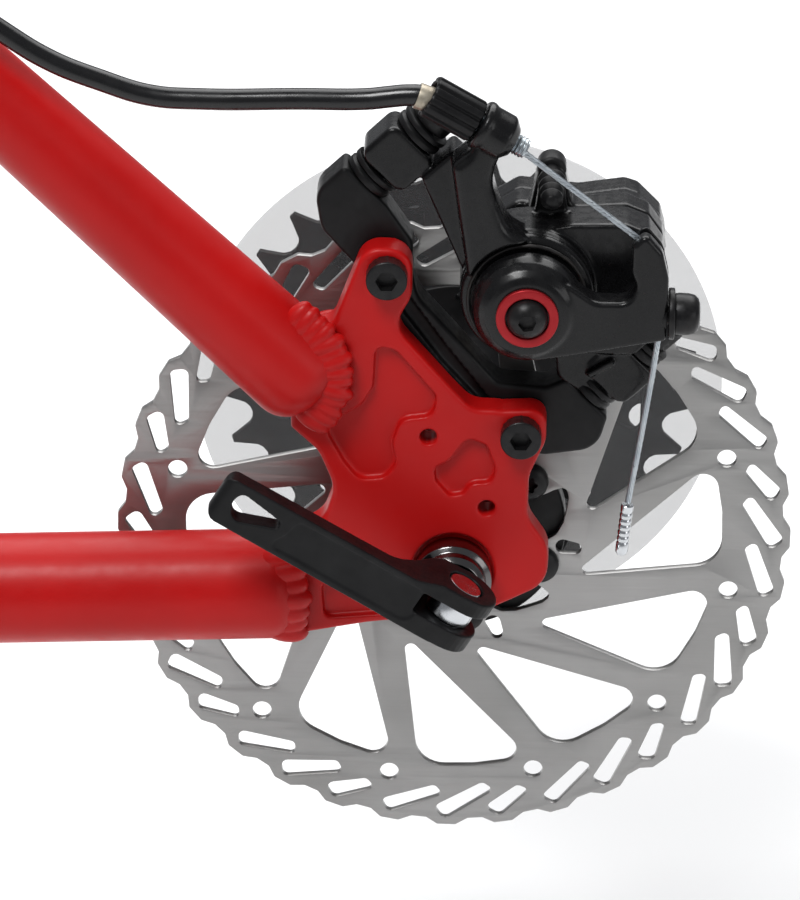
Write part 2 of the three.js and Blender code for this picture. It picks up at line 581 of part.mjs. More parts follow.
function outboardHalf() {
  const housing = turned([
    [0, -75.5], [14.4, -75.5], [15.6, -74.3], [15.6, INNER_FACE], [0, INNER_FACE],
  ], 28, PX, PZ);
  const flange = plate(rounded([
    [12, 84, 1], [16, 91, 2], [16.2, 99.2, 3.8], [24.6, 99.2, 3.8], [25.4, 86.6, 2], [38, 87, 2], [43, 85, 2],
    [46.6, 80, 2], [47.2, 74, 3], [46.5, 60, 4], [41, 54, 3], [30, 54, 4], [18, 57, 2],
  ], 1), -69.5, INNER_FACE);
  const neck = plate(rounded([
    [-2.8, 103.6, 1], [1.6, 106, 2], [4, 112.5, 2], [9.6, 109.5, 2], [6.8, 103.3, 3], [9.1, 93, 6],
    [14, 84, 1], [10, 72, 1], [2, 74, 1],
  ], 1), -78.5, -64);
  const web = plate(rounded([[-9.6, 97], [-2.4, 104], [8, 92], [12, 78], [3, 70]]), -69, INNER_FACE);
  const link = plate(rounded([
    [27, 58, 1], [30, 48, 2], [38, 42, 2], [45, 50, 2], [42, 60, 1],
  ], 1), -68, INNER_FACE);
  const boss = bar(onCable(-12.4), onCable(-3.4), 5.3, 14);
  const solid = join([housing, flange, neck, web, link, ear(POST_UP), ear(POST_LOW), boss]);
  const pistonBore = turned([
    [0, -77], [4.3, -77], [4.3, -72.2], [9.3, -72.2], [9.3, -60.2], [11.3, -60.2], [11.3, -56], [0, -56],
  ], 20, PX, PZ);
  const tools = [
    pistonBore,
    padTab(-61, -56, 2.6),
    bar(onCable(-16), onCable(4), 2.8, 10),
    turned([[0, -92], [14.6, -92], [14.6, -75.9], [0, -75.9]], 28, PX, PZ),
    headRoom(POST_UP),
    headRoom(POST_LOW),
    ...earSlot(POST_UP),
    ...earSlot(POST_LOW),
    ...BODY_BOLTS.map(([x, z]) => plate(circle(x, z, 2.9, 10), -80, -56)),
    plate(circle(...BODY_BOLTS[1], 4.4, 12), -80, -65.6),
  ];
  return cut(solid, tools);
}

function inboardHalf() {
  const body = plate(rounded([
    [4, 58, 6], [4, 78, 5], [13, 84, 3], [27, 82.6, 2], [37.8, 84.4, 2], [41, 83.4, 2], [46.4, 78, 2],
    [47.8, 73, 3], [44, 60, 6], [30, 54, 8],
  ], 1), -50.6, -34);
  const bridge = plate(rounded([
    [14.6, 81, 1], [16.4, 98.8, 3.6], [24.4, 98.8, 3.6], [25.4, 86, 2], [38, 87, 2], [43, 85, 2],
    [46.6, 80, 2], [47.4, 74, 2], [46.8, 70, 1], [38, 76.5, 1], [28, 81, 1],
  ], 1), INNER_FACE + GAP, -50);
  const tools = [
    turned([[0, -32], [4.6, -32], [4.6, -42], [11.3, -46.4], [11.3, -60], [0, -60]], 20, PX, PZ),
    padTab(-52, -46.4, 2.6),
    ...BODY_BOLTS.map(([x, z]) => plate(circle(x, z, 2.9, 10), -60, -40)),
  ];
  return cut(body.add(bridge), tools);
}

// The strip that a pad's pull tab occupies, pointing down and forward from the pad.
function padTab(y0, y1, halfWidth) {
  const strip = boxBetween(vec(-halfWidth, y0, -21), vec(halfWidth, y1, 0));
  const turn = new THREE.Matrix4().makeRotationY(24.8 * DEG).setPosition(PX, 0, PZ);
  return asSolid(asGeometry(strip).applyMatrix4(turn));
}

function pad(backY, seamY, faceY) {
  const backing = turned([[0, backY], [10.9, backY], [10.9, seamY], [0, seamY]], 20, PX, PZ);
  const compound = turned([[0, seamY], [10.2, seamY], [10.2, faceY], [0, faceY]], 20, PX, PZ);
  return join([backing, compound, padTab(Math.min(backY, seamY), Math.max(backY, seamY), 2)]);
}

function makeCaliper() {
  add('caliper_outboard_half', outboardHalf(), 'black_gloss');
  add('caliper_inboard_half', inboardHalf(), 'black_gloss');
  const bolt = capScrew({ headR: 3.7, headHeight: 6, shankR: 2.6, length: 24, socketR: 2.1 });
  add('body_bolt_upper', bolt.translate([BODY_BOLTS[0][0], -69.8, BODY_BOLTS[0][1]]), 'black_bolt');
  const short = capScrew({ headR: 4, headHeight: 3.6, shankR: 2.6, length: 22, socketR: 2.1 });
  add('body_bolt_lower', short.translate([BODY_BOLTS[1][0], -65.9, BODY_BOLTS[1][1]]), 'black_bolt');
  add('brake_pad_outboard', pad(-59.4, -57.2, -54.6), 'pad_compound');
  add('brake_pad_inboard', pad(-46.9, -49, -51.6), 'pad_compound');
  const piston = turned([[0, -67.4], [8.9, -67.4], [8.9, -59.8], [0, -59.8]], 20, PX, PZ);
  add('thrust_piston', piston, 'bright_steel');
  add('drive_cam', turned([
    [0, -84], [3.9, -84], [3.9, -71.8], [8.9, -71.8], [8.9, -67.8], [0, -67.8],
  ], 16, PX, PZ).subtract(bar(vec(PX, -85, PZ), vec(PX, -77, PZ), 2.4, 8)), 'bright_steel');
  const ridges = circle(0, 0, 7.2, 20).map((point, i) => point.multiplyScalar(i % 2 ? 1 : 0.93));
  const stem = plate(circle(0, 0, 4.3, 12), -46.2, -30);
  const knob = plate(ridges, -33.7, -28.6).add(stem).translate([PX, 0, PZ]);
  add('pad_adjuster_knob', knob, 'red_anodised');
}

// ---------------------------------------------------------------- brake arm and cable
const armOutline = [
  [15.5, 58.4, 2], [47.5, 64.7, 1], [47.6, 80, 6], [46, 86.6, 4], [42, 91.3, 1.5], [39, 88.1, 2],
  [39, 81.5, 2], [40.4, 78, 3], [38.6, 73.9, 4], [31, 73.8, 5], [25, 78, 3], [15.5, 80, 1],
];

function brakeArm() {
  const bossPart = turned([
    [0, -85.7], [8.2, -85.7], [9.8, -85], [12, -82.4], [13, -79.4], [13, -77.5], [0, -77.5],
  ], 24, PX, PZ);
  const blade = plate(rounded(armOutline, 2), -84.5, -77.5);
  const groove = plate(rounded([
    [36.5, 86.6], [40.8, 84.4], [44, 80.6], [45.1, 76], [44.9, 70], [44.1, 58], [52, 58], [52, 95],
    [36.5, 95],
  ]), -81.2, -78.8);
  const body = blade.add(bossPart);
  const clampHole = bar(vec(35, CABLE_Y, 69.8), vec(50, CABLE_Y, 69.8), 2.9, 10);
  return cut(body, [groove, clampHole, bar(vec(PX, -90, PZ), vec(PX, -70, PZ), 4.2, 14)]);
}

const wireTail = [
  [40.6, 87.4], [44.6, 82], [46.2, 76], [46.2, 69.8], [45.6, 62], [43.2, 42], [40.3, 21.2],
];

function makeArm() {
  add('brake_arm', brakeArm(), 'black_gloss');
  const armBolt = capScrew({
    headR: 4.75, headHeight: 3.4, shankR: 2.1, length: 7.4, socketR: 2.2, dome: 1.8,
  });
  add('arm_bolt', armBolt.translate([PX, -86, PZ]), 'black_bolt');
  add('arm_ring', turned([
    [5.1, -87.1], [7, -87.1], [7.3, -86.7], [7.3, -86], [5.1, -86],
  ], 24, PX, PZ), 'red_anodised');
  add('arm_return_spring', coil(-76.1, -76.9, 13.6, 13.6, 0.9, 0.5, PX, PZ), 'bright_steel');
  const clamp = aimed(turned([
    [0, -12], [2.6, -12], [2.6, 0], [5.6, 0], [5.6, 1.4], [3.7, 1.4], [3.7, 5.6], [2.9, 6.4], [0, 6.4],
  ], 14), vec(47.9, CABLE_Y, 69.8), vec(60, CABLE_Y, 69.8));
  const wireHole = bar(vec(46.2, CABLE_Y, 60), vec(46.2, CABLE_Y, 80), 1.2, 8);
  add('cable_clamp_bolt', clamp.subtract(wireHole), 'black_bolt');
  add('inner_wire_tail', sweep(wireTail.map((p) => at3(p, CABLE_Y)), WIRE_R, 6, 22), 'bright_steel');
  add('inner_wire_run', bar(at3(WIRE_START, CABLE_Y), at3(WIRE_END, CABLE_Y), WIRE_R, 6), 'bright_steel');
  add('cable_end_cap', bar(vec(40.25, CABLE_Y, 20.8), vec(39.2, CABLE_Y, 7.8), 1.5, 8), 'bright_steel');
}

// The outer housing's route from the barrel adjuster to the frame, [x, y, z].
const housingRoute = [
  [-2, -80, 118.7], [-5.5, -80, 120.6], [-9, -80, 122], [-13, -79.8, 122.1], [-17, -79.5, 121.5],
  [-22, -79.2, 120.7], [-37.3, -79, 120.2],
  [-59.9, -79, 119.5], [-71.3, -79, 120.1], [-82.6, -79, 123.5], [-93.9, -79, 128], [-105.1, -79, 135],
  [-112, -79, 140],
];

function makeCable() {
  const ridged = [];
  for (let i = 0; i < 12; i += 1) {
    [[4.5, 0], [5.1, 5], [5.1, 20], [4.5, 25]].forEach(([r, a]) => ridged.push(polar(r, i * 30 + a)));
  }
  const grip = plate(ridged, 0, 13.4);
  const stem = turned([[0, 10], [2.5, 10], [2.5, 26.4], [0, 26.4]], 12);
  const bore = turned([[0, -1], [3.6, -1], [3.6, 8], [1.7, 8], [1.7, 28], [0, 28]], 14);
  add('barrel_adjuster', aimed(cut(grip.add(stem), [bore]), onCable(-26.4), onCable(10)), 'black_satin');
  const route = housingRoute.map(([x, y, z]) => vec(x, y, z));
  add('brake_housing', sweep(route, HOUSING_R, 8, 30), 'housing_black');
  const end = route[route.length - 1];
  const back = end.clone().sub(route[route.length - 2]).normalize();
  const tip = end.clone().addScaledVector(back, GAP);
  add('housing_end_cap', bar(tip, tip.clone().addScaledVector(back, 6), 3, 10), 'bright_steel');
}

makeHub();
makeFreehub();
makeRotor();
makeFrameEnd();
makeQuickRelease();
makeAdapter();
makeCaliper();
makeArm();
makeCable();

export default model;
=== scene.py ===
"""Looks for the rear hub assembly: hub, rotor, quick release, dropout and cable disc brake.

Lengths in this script are millimetres in the row frame until a mesh is built, which is in metres.
+Y runs along the axle to the sprocket side, +X to the rear of the bicycle, +Z up.
"""
import math
import random

import bmesh
import bpy
from mathutils import Matrix, Vector


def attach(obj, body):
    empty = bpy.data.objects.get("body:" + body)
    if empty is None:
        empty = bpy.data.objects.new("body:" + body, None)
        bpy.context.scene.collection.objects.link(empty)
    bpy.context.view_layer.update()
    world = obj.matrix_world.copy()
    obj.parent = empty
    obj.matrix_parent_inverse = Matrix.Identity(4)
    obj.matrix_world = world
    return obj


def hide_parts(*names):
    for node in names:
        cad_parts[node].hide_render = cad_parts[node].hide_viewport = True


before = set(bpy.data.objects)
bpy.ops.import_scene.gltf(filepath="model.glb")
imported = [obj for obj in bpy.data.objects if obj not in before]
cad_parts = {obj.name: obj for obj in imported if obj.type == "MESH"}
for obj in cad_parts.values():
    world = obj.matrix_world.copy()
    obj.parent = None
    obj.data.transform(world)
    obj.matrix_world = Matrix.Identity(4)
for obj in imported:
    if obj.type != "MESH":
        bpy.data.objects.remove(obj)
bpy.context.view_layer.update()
MM = 0.001
random.seed(7)

# ---------------------------------------------------------------- places shared with the CAD
# Pairs are (x, z).
PIVOT = (15.5, 70.5)                            # brake arm and pads
MOUNT_Y = -62.3                                 # plane of the two caliper mounting bolts
POST_UP = (-22.2, 94.0)
POST_LOW = (30.3, 41.7)
TAB_BOLTS = ((-16.9, 75.8), (15.0, 36.2))
BODY_BOLTS = ((20.4, 94.8), (40.5, 80.0))
CABLE_Y = -80.0
CABLE_TIP = (14.1, 109.7)                       # lower end of the barrel adjuster
CABLE_ANGLE = math.radians(-29.5)
CABLE_LINE = (math.cos(CABLE_ANGLE), 0.0, math.sin(CABLE_ANGLE))
WIRE_START = (12.7, 109.66)
WIRE_END = (40.5, 88.2)
CLAMP_Z = 69.8                                  # height of the wire clamp on the arm
PIN_Y = -93.5                                   # quick release lever pin
PIN_TILT = math.radians(30.5)
DROPOUT_OUT = -75.5
DROPOUT_IN = -67.5
STAY_Y = (DROPOUT_OUT + DROPOUT_IN) / 2
ROTOR_OUT_Y = -54.0
ROTOR_IN_Y = -52.2
ROTOR_BOLT_R = 22.0
ROTOR_BOLT_ANGLE = -22.0
ROTOR_HOLE_R = 67.3
ROTOR_HOLE_ANGLE = 17.9
SPOKE_CIRCLE_R = 26.5
SPOKE_HOLE_R = 1.3
SPOKES_PER_FLANGE = 18
BALL_CIRCLE_R = 10.4
BALL_R = 3.1
CHAIN_PITCH = 12.7
ROLLER_SEAT_R = 3.95
SPROCKET_TEETH = (28, 24, 22, 20, 18, 16)
SPROCKET_STEP = 4.8                             # from one sprocket to the next along the axle
SPROCKET_BORE_R = 17.6
ROOT = "frame_and_brake_body"


# ---------------------------------------------------------------- mesh tools
def link(name, mesh):
    obj = bpy.data.objects.new(name, mesh)
    bpy.context.scene.collection.objects.link(obj)
    return obj


def discard(obj):
    bpy.data.objects.remove(obj, do_unlink=True)


def from_data(name, vertices, faces):
    """A mesh object from millimetre vertices, welded and with its faces turned outward."""
    mesh = bpy.data.meshes.new(name)
    mesh.from_pydata([tuple(c * MM for c in v) for v in vertices], [], faces)
    clean(mesh)
    return link(name, mesh)


def clean(mesh):
    """Welds the vertices that lie within a micrometre and turns all faces outward."""
    bm = bmesh.new()
    bm.from_mesh(mesh)
    bmesh.ops.remove_doubles(bm, verts=bm.verts, dist=1e-6)
    bmesh.ops.recalc_face_normals(bm, faces=bm.faces)
    bm.to_mesh(mesh)
    bm.free()


def from_bmesh(name, bm):
    """An object from a bmesh, which is freed."""
    mesh = bpy.data.meshes.new(name)
    bm.to_mesh(mesh)
    bm.free()
    return link(name, mesh)


def mesh_of_curve(name, curve):
    maker = link(name + "_curve", curve)
    mesh = bpy.data.meshes.new_from_object(maker.evaluated_get(bpy.context.evaluated_depsgraph_get()))
    discard(maker)
    return mesh


def applied(obj):
    """Applies the object's modifiers, so that what follows works on the finished mesh."""
    depsgraph = bpy.context.evaluated_depsgraph_get()
    mesh = bpy.data.meshes.new_from_object(obj.evaluated_get(depsgraph))
    obj.modifiers.clear()
    obj.data = mesh
    return obj


def polar(radius, degrees, centre=(0.0, 0.0)):
    angle = math.radians(degrees)
    return (centre[0] + radius * math.cos(angle), centre[1] + radius * math.sin(angle))


def circle(x, z, radius, sides=32, turn=0.0):
    return [polar(radius, turn + 360.0 * i / sides, (x, z)) for i in range(sides)]


def rounded(corners, steps=6):
    """A polygon whose corners (x, z, radius) are rounded to their radius."""
    points = []
    count = len(corners)
    for i, corner in enumerate(corners):
        here = Vector(corner[:2])
        radius = corner[2] if len(corner) > 2 else 0.0
        if radius == 0:
            points.append(tuple(here))
            continue
        back = Vector(corners[i - 1][:2]) - here
        ahead = Vector(corners[(i + 1) % count][:2]) - here
        reach = 0.49 * min(back.length, ahead.length)
        back.normalize()
        ahead.normalize()
        half = math.acos(max(-1.0, min(1.0, back.dot(ahead)))) / 2
        tangent = min(radius / math.tan(half), reach)
        arc = tangent * math.tan(half)
        centre = here + (back + ahead).normalized() * (arc / math.sin(half))
        first = here + back * tangent - centre
        last = here + ahead * tangent - centre
        start = math.atan2(first.y, first.x)
        turn = math.atan2(first.x * last.y - first.y * last.x, first.dot(last))
        for k in range(steps + 1):
            angle = start + turn * k / steps
            points.append((centre.x + arc * math.cos(angle), centre.y + arc * math.sin(angle)))
    return points


def plate(name, outlines, y_near, y_far, edge=0.0, edge_steps=2):
    """A flat piece in the XZ plane with rounded edges. The first outline is the outside."""
    curve = bpy.data.curves.new(name, "CURVE")
    curve.dimensions = "2D"
    curve.fill_mode = "BOTH"
    for outline in outlines:
        spline = curve.splines.new("POLY")
        spline.points.add(len(outline) - 1)
        for point, (x, z) in zip(spline.points, outline):
            point.co = (x * MM, z * MM, 0, 1)
        spline.use_cyclic_u = True
    curve.extrude = ((y_far - y_near) / 2 - edge) * MM
    curve.bevel_depth = edge * MM
    curve.bevel_resolution = edge_steps
    curve.offset = -edge * MM
    mesh = mesh_of_curve(name, curve)
    middle = Matrix.Translation((0, (y_near + y_far) / 2 * MM, 0))
    mesh.transform(middle @ Matrix.Rotation(math.pi / 2, 4, "X"))
    clean(mesh)
    return link(name, mesh)


def turned(name, profile, segments=64, centre=(0.0, 0.0)):
    """A turned piece about the Y axis through centre (x, z). The profile lists (radius, y)."""
    closed = profile[0][0] > 0
    vertices = []
    for i in range(segments):
        angle = 2 * math.pi * i / segments
        c, s = math.cos(angle), math.sin(angle)
        vertices += [(centre[0] + r * c, y, centre[1] + r * s) for r, y in profile]
    rows = len(profile)
    faces = []
    for i in range(segments):
        j = (i + 1) % segments
        for k in range(rows if closed else rows - 1):
            m = (k + 1) % rows
            faces.append((i * rows + k, i * rows + m, j * rows + m, j * rows + k))
    return from_data(name, vertices, faces)


def softened(profile, radius, steps=3):
    """A turned profile with its corners rounded, for a piece that touches no axis."""
    return rounded([(r, y, radius) for r, y in profile], steps)


def aim(obj, start, direction):
    """Moves a piece made along +Y so that it starts at start and runs along direction."""
    turn = Vector((0, 1, 0)).rotation_difference(Vector(direction).normalized()).to_matrix().to_4x4()
    obj.data.transform(Matrix.Translation(Vector(start) * MM) @ turn)
    return obj


def rod(name, start, end, radius, segments=24, edge=0.2):
    """A round bar from start to end with a chamfer of edge at both ends."""
    line = Vector(end) - Vector(start)
    length = line.length
    profile = [(0, 0), (radius - edge, 0), (radius, edge),
               (radius, length - edge), (radius - edge, length), (0, length)]
    return aim(turned(name, profile, segments), start, line)


def tube(name, points, radius, sides=3, resolution=8):
    """A round bar along a smooth line through points, kept as a mesh."""
    return link(name, mesh_of_curve(name, smooth_curve(name, points, radius, sides, resolution)))


def smooth_curve(name, points, radius, sides, resolution):
    curve = bpy.data.curves.new(name, "CURVE")
    curve.dimensions = "3D"
    spline = curve.splines.new("BEZIER")
    spline.bezier_points.add(len(points) - 1)
    for bezier, point in zip(spline.bezier_points, points):
        bezier.co = Vector(point) * MM
        bezier.handle_left_type = "AUTO"
        bezier.handle_right_type = "AUTO"
    curve.bevel_depth = radius * MM
    curve.bevel_resolution = sides
    curve.resolution_u = resolution
    curve.use_fill_caps = True
    return curve


def join(name, objects):
    """One object from several meshes, left as separate shells."""
    bm = bmesh.new()
    for obj in objects:
        bm.from_mesh(obj.data)
        discard(obj)
    return from_bmesh(name, bm)


def boolean(obj, tools, operation, solver="EXACT"):
    """Joins the tools to the object, or cuts it with them, one after the other."""
    for tool in tools:
        modifier = obj.modifiers.new("cut", "BOOLEAN")
        modifier.operation = operation
        modifier.solver = solver
        modifier.object = tool
        applied(obj)
        discard(tool)
    return obj


def carve(obj, tools):
    boolean(obj, tools, "DIFFERENCE")
    clean(obj.data)
    return obj


def fused_casting(name, parts, tools, voxel, rounds, keep):
    """Casts overlapping parts as one body, then cuts the tools out of it and rounds it again."""
    solid = cast(join(name, parts), voxel, 0)
    return cast(boolean(solid, tools, "DIFFERENCE", "MANIFOLD"), voxel, rounds, keep)


def cast(obj, voxel, rounds, keep=1.0):
    """Turns a rough solid into a casting: every inner and outer corner gets a small fillet."""
    remesh = obj.modifiers.new("remesh", "REMESH")
    remesh.mode = "VOXEL"
    remesh.voxel_size = voxel * MM
    smooth = obj.modifiers.new("smooth", "SMOOTH")
    smooth.factor = 0.5
    smooth.iterations = rounds
    if keep < 1:
        fewer = obj.modifiers.new("fewer", "DECIMATE")
        fewer.ratio = keep
    return applied(obj)


def shade(obj, angle):
    """Smooth shading, kept sharp where two faces meet at more than angle degrees."""
    for polygon in obj.data.polygons:
        polygon.use_smooth = True
    obj.data.set_sharp_from_angle(angle=math.radians(angle))


def place(obj, body, material, nodes=(), angle=35):
    """Gives a finished piece its shading, material and body, and hides the CAD nodes it stands for."""
    shade(obj, angle)
    obj.data.materials.clear()
    obj.data.materials.append(material)
    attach(obj, body)
    if nodes:
        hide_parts(*nodes)
    return obj


def on_bolt(post, along, across=0.0):
    """A point on a mounting bolt's axis, which climbs to the rear at 45 degrees."""
    k = math.sqrt(0.5)
    return (post[0] + k * (along + across), post[1] + k * (along - across))


def in_plane(point, y):
    return (point[0], y, point[1])


def on_cable(t, y=CABLE_Y):
    return (CABLE_TIP[0] + t * math.cos(CABLE_ANGLE), y, CABLE_TIP[1] + t * math.sin(CABLE_ANGLE))


# ---------------------------------------------------------------- materials
class Shader:
    """A small helper that builds one Principled material."""

    def __init__(self, name, colour, metallic, roughness, **sockets):
        self.material = bpy.data.materials.new(name)
        self.material.use_nodes = True
        self.nodes = self.material.node_tree.nodes
        self.links = self.material.node_tree.links
        self.shader = self.nodes["Principled BSDF"]
        self.coordinates = self.nodes.new("ShaderNodeTexCoord").outputs["Object"]
        self.shader.inputs["Base Color"].default_value = (*colour, 1)
        self.shader.inputs["Metallic"].default_value = metallic
        self.shader.inputs["Roughness"].default_value = roughness
        for socket, value in sockets.items():
            self.shader.inputs[socket.replace("_", " ")].default_value = value
        self.colour = colour
        self.normal = None

    def stretched(self, scale, turn=(0, 0, 0)):
        mapping = self.nodes.new("ShaderNodeMapping")
        mapping.inputs["Scale"].default_value = scale
        mapping.inputs["Rotation"].default_value = turn
        self.links.new(self.coordinates, mapping.inputs["Vector"])
        return mapping.outputs["Vector"]

    def noise(self, scale, detail=3.0, vector=None):
        node = self.nodes.new("ShaderNodeTexNoise")
        node.inputs["Scale"].default_value = scale
        node.inputs["Detail"].default_value = detail
        self.links.new(vector or self.coordinates, node.inputs["Vector"])
        return node.outputs["Fac"]

    def spread(self, value, low, high, start=0.3, stop=0.7):
        node = self.nodes.new("ShaderNodeMapRange")
        node.inputs["From Min"].default_value = start
        node.inputs["From Max"].default_value = stop
        node.inputs["To Min"].default_value = low
        node.inputs["To Max"].default_value = high
        self.links.new(value, node.inputs["Value"])
        return node.outputs["Result"]

    def vary_roughness(self, value, low, high):
        self.links.new(self.spread(value, low, high), self.shader.inputs["Roughness"])

    def vary_colour(self, value, other, amount=1.0):
        mix = self.nodes.new("ShaderNodeMix")
        mix.data_type = "RGBA"
        mix.inputs["A"].default_value = (*self.colour, 1)
        mix.inputs["B"].default_value = (*other, 1)
        self.links.new(self.spread(value, 0, amount), mix.inputs["Factor"])
        self.links.new(mix.outputs["Result"], self.shader.inputs["Base Color"])

    def bump(self, value, depth_mm, strength=1.0):
        node = self.nodes.new("ShaderNodeBump")
        node.inputs["Strength"].default_value = strength
        node.inputs["Distance"].default_value = depth_mm * MM
        self.links.new(value, node.inputs["Height"])
        if self.normal:
            self.links.new(self.normal, node.inputs["Normal"])
        self.normal = node.outputs["Normal"]
        self.links.new(self.normal, self.shader.inputs["Normal"])


def finish_of(name, colour, metallic, roughness, tint=None, sheen=None, bumps=(), **sockets):
    """One finish. tint is (scale, detail, other colour) and may end with its amount, sheen is
    (scale, detail, low, high) for the roughness, each bump (scale, detail, depth in mm, strength)."""
    s = Shader(name, colour, metallic, roughness, **sockets)
    if tint:
        scale, detail, *change = tint
        s.vary_colour(s.noise(scale, detail), *change)
    if sheen:
        scale, detail, low, high = sheen
        s.vary_roughness(s.noise(scale, detail), low, high)
    for scale, detail, depth_mm, strength in bumps:
        s.bump(s.noise(scale, detail), depth_mm, strength)
    return s.material


def brushed_rotor_steel():
    """Steel ground in one direction, so that its grain is drawn out along a slanted line."""
    s = Shader("rotor_steel", (0.36, 0.355, 0.35), 0.8, 0.42)
    grain = s.noise(60, 4, s.stretched((1, 1, 38), (0, math.radians(35), 0)))
    s.vary_colour(s.noise(28, 3), (0.28, 0.277, 0.27))
    s.vary_roughness(grain, 0.3, 0.46)
    s.bump(grain, 0.012, 0.5)
    return s.material


PAINT = finish_of("red_paint", (0.44, 0.004, 0.004), 0.0, 0.4, (35, 2, (0.39, 0.0035, 0.0035)),
                 (240, 3, 0.36, 0.48), [(420, 2, 0.05, 0.35)],
                 Coat_Weight=0.05, Coat_Roughness=0.2, Specular_IOR_Level=0.2)
CASTING = finish_of("black_casting", (0.003, 0.003, 0.0034), 0.0, 0.24, (60, 3, (0.006, 0.006, 0.0064)),
                   (500, 4, 0.2, 0.34), [(900, 3, 0.03, 0.3), (160, 2, 0.08, 0.25)],
                   Coat_Weight=0.1, Coat_Roughness=0.1, Specular_IOR_Level=0.24)
SATIN = finish_of("black_satin", (0.004, 0.004, 0.0044), 0.0, 0.4, (120, 3, (0.009, 0.009, 0.0095)),
                 (700, 3, 0.34, 0.5), [(1500, 2, 0.02, 0.35)], Specular_IOR_Level=0.2)
OXIDE = finish_of("black_oxide", (0.009, 0.009, 0.01), 0.5, 0.34, (300, 3, (0.018, 0.0175, 0.0175)),
                 (900, 3, 0.26, 0.46), [(1600, 2, 0.015, 0.4)], Specular_IOR_Level=0.35)
ROTOR_STEEL = brushed_rotor_steel()
BRIGHT = finish_of("bright_steel", (0.62, 0.64, 0.66), 1.0, 0.2, None, (400, 3, 0.14, 0.28),
                  [(900, 2, 0.01, 0.3)])
# Polished steel for the quick release cap. Its base colour is darkened as a painted reflection of the dark red
# and black parts around it.
POLISHED_PAINTED_REFLECTION = finish_of("polished_steel_painted_reflection", (0.14, 0.135, 0.135), 1.0, 0.16, None, (500, 3, 0.1, 0.22),
                    [(900, 2, 0.01, 0.3)])
ZINC = finish_of("zinc_steel", (0.50, 0.54, 0.56), 1.0, 0.34, (220, 3, (0.38, 0.42, 0.46)),
                (600, 3, 0.26, 0.44), [(1400, 2, 0.015, 0.4)])
DARK = finish_of("dark_steel", (0.014, 0.014, 0.015), 0.6, 0.42, (140, 3, (0.024, 0.021, 0.019)),
                (500, 4, 0.3, 0.52), [(1000, 3, 0.015, 0.4)])
ANODISED = finish_of("red_anodised", (0.32, 0.008, 0.012), 0.55, 0.36, None, (500, 3, 0.3, 0.44),
                    [(1200, 2, 0.01, 0.3)])
CLEAR = finish_of("clear_plastic", (0.1, 0.102, 0.105), 0.0, 0.22, None, (120, 3, 0.16, 0.3),
                 [(60, 2, 0.06, 0.3)], Alpha=0.32, IOR=1.49)
SHEATH = finish_of("cable_sheath", (0.005, 0.005, 0.0056), 0.0, 0.26, None, (260, 3, 0.2, 0.34),
                  [(500, 2, 0.03, 0.3)], Coat_Weight=0.15, Coat_Roughness=0.15, Specular_IOR_Level=0.35)
COMPOUND = finish_of("pad_compound", (0.13, 0.105, 0.085), 0.1, 0.8, (1400, 4, (0.28, 0.22, 0.15), 0.8),
                    bumps=[(1800, 4, 0.08, 0.6)])
FERRULE = finish_of("aged_nickel", (0.46, 0.42, 0.34), 0.7, 0.4, (500, 3, (0.3, 0.26, 0.2)),
                   (900, 3, 0.3, 0.5))


# ---------------------------------------------------------------- fasteners
def socket_screw(name, head_r, head_h, shank_r, length, socket_r, dome=0.4, knurls=0):
    """A socket head screw along +Y, its head from -head_h to 0, with a real hexagon hole."""
    profile = [(0, -head_h)]
    for k in range(5):
        angle = math.radians(90 * k / 4)
        profile.append((head_r - dome + dome * math.sin(angle), -head_h + dome - dome * math.cos(angle)))
    profile += [(head_r, -0.25), (head_r - 0.25, 0), (shank_r, 0)]
    y = 0.6
    while y < length - 1.2:
        profile += [(shank_r, y), (shank_r - 0.3, y + 0.4), (shank_r, y + 0.8)]
        y += 0.8
    profile += [(shank_r - 0.4, length), (0, length)]
    screw = turned(name, profile, 48)
    if knurls:
        for vertex in screw.data.vertices:
            x, height, z = vertex.co / MM
            if math.hypot(x, z) > head_r - 0.05 and height > -head_h + dome - 0.1:
                shrink = 1 - 0.018 * (1 + math.cos(knurls * math.atan2(z, x)))
                vertex.co.x *= shrink
                vertex.co.z *= shrink
    hexagon = plate("hexagon", [circle(0, 0, socket_r, 6)], -head_h - 1, -head_h * 0.42)
    return carve(screw, [hexagon])


def star_outline(radius, lobes=6):
    points = []
    for i in range(lobes * 8):
        angle = 360 * i / (lobes * 8)
        points.append(polar(radius * (0.86 + 0.14 * math.cos(math.radians(angle * lobes))), angle))
    return points


def button_bolt(name):
    """A rotor bolt: low domed head with a six lobed socket."""
    profile = [(0, -2.8)]
    for k in range(1, 9):
        angle = math.radians(90 * k / 8)
        profile.append((4.8 * math.sin(angle) ** 0.9, -0.5 - 2.3 * math.cos(angle)))
    profile += [(4.8, -0.1), (4.7, 0), (2.4, 0), (2.4, 8.6), (0, 8.6)]
    bolt = turned(name, profile, 48)
    return carve(bolt, [plate("star", [star_outline(2.25)], -4, -1.3)])


def move(obj, x=0.0, y=0.0, z=0.0):
    obj.data.transform(Matrix.Translation((x * MM, y * MM, z * MM)))
    return obj


# ---------------------------------------------------------------- rotor
def ridged(count, corners, fillet, steps=2, centre=(0.0, 0.0)):
    """A closed outline that repeats the same few corners (radius, degrees) count times in a turn."""
    points = []
    for i in range(count):
        points += [(*polar(r, 360 / count * i + a, centre), fillet) for r, a in corners]
    return rounded(points, steps)


def rotor_bore():
    sixth = [(17.7, 9), (17.7, -9), (20.5, -13), (26, -12.5), (28.2, -13), (28.9, -15), (28.6, -19),
             (27.3, -25), (26.1, -32), (24.4, -39), (21.5, -45), (18.4, -49)]
    corners = []
    for i in range(6):
        corners += [(*polar(r, ROTOR_BOLT_ANGLE - 60 * i + a), 1.6) for r, a in sixth]
    return rounded(corners, 3)


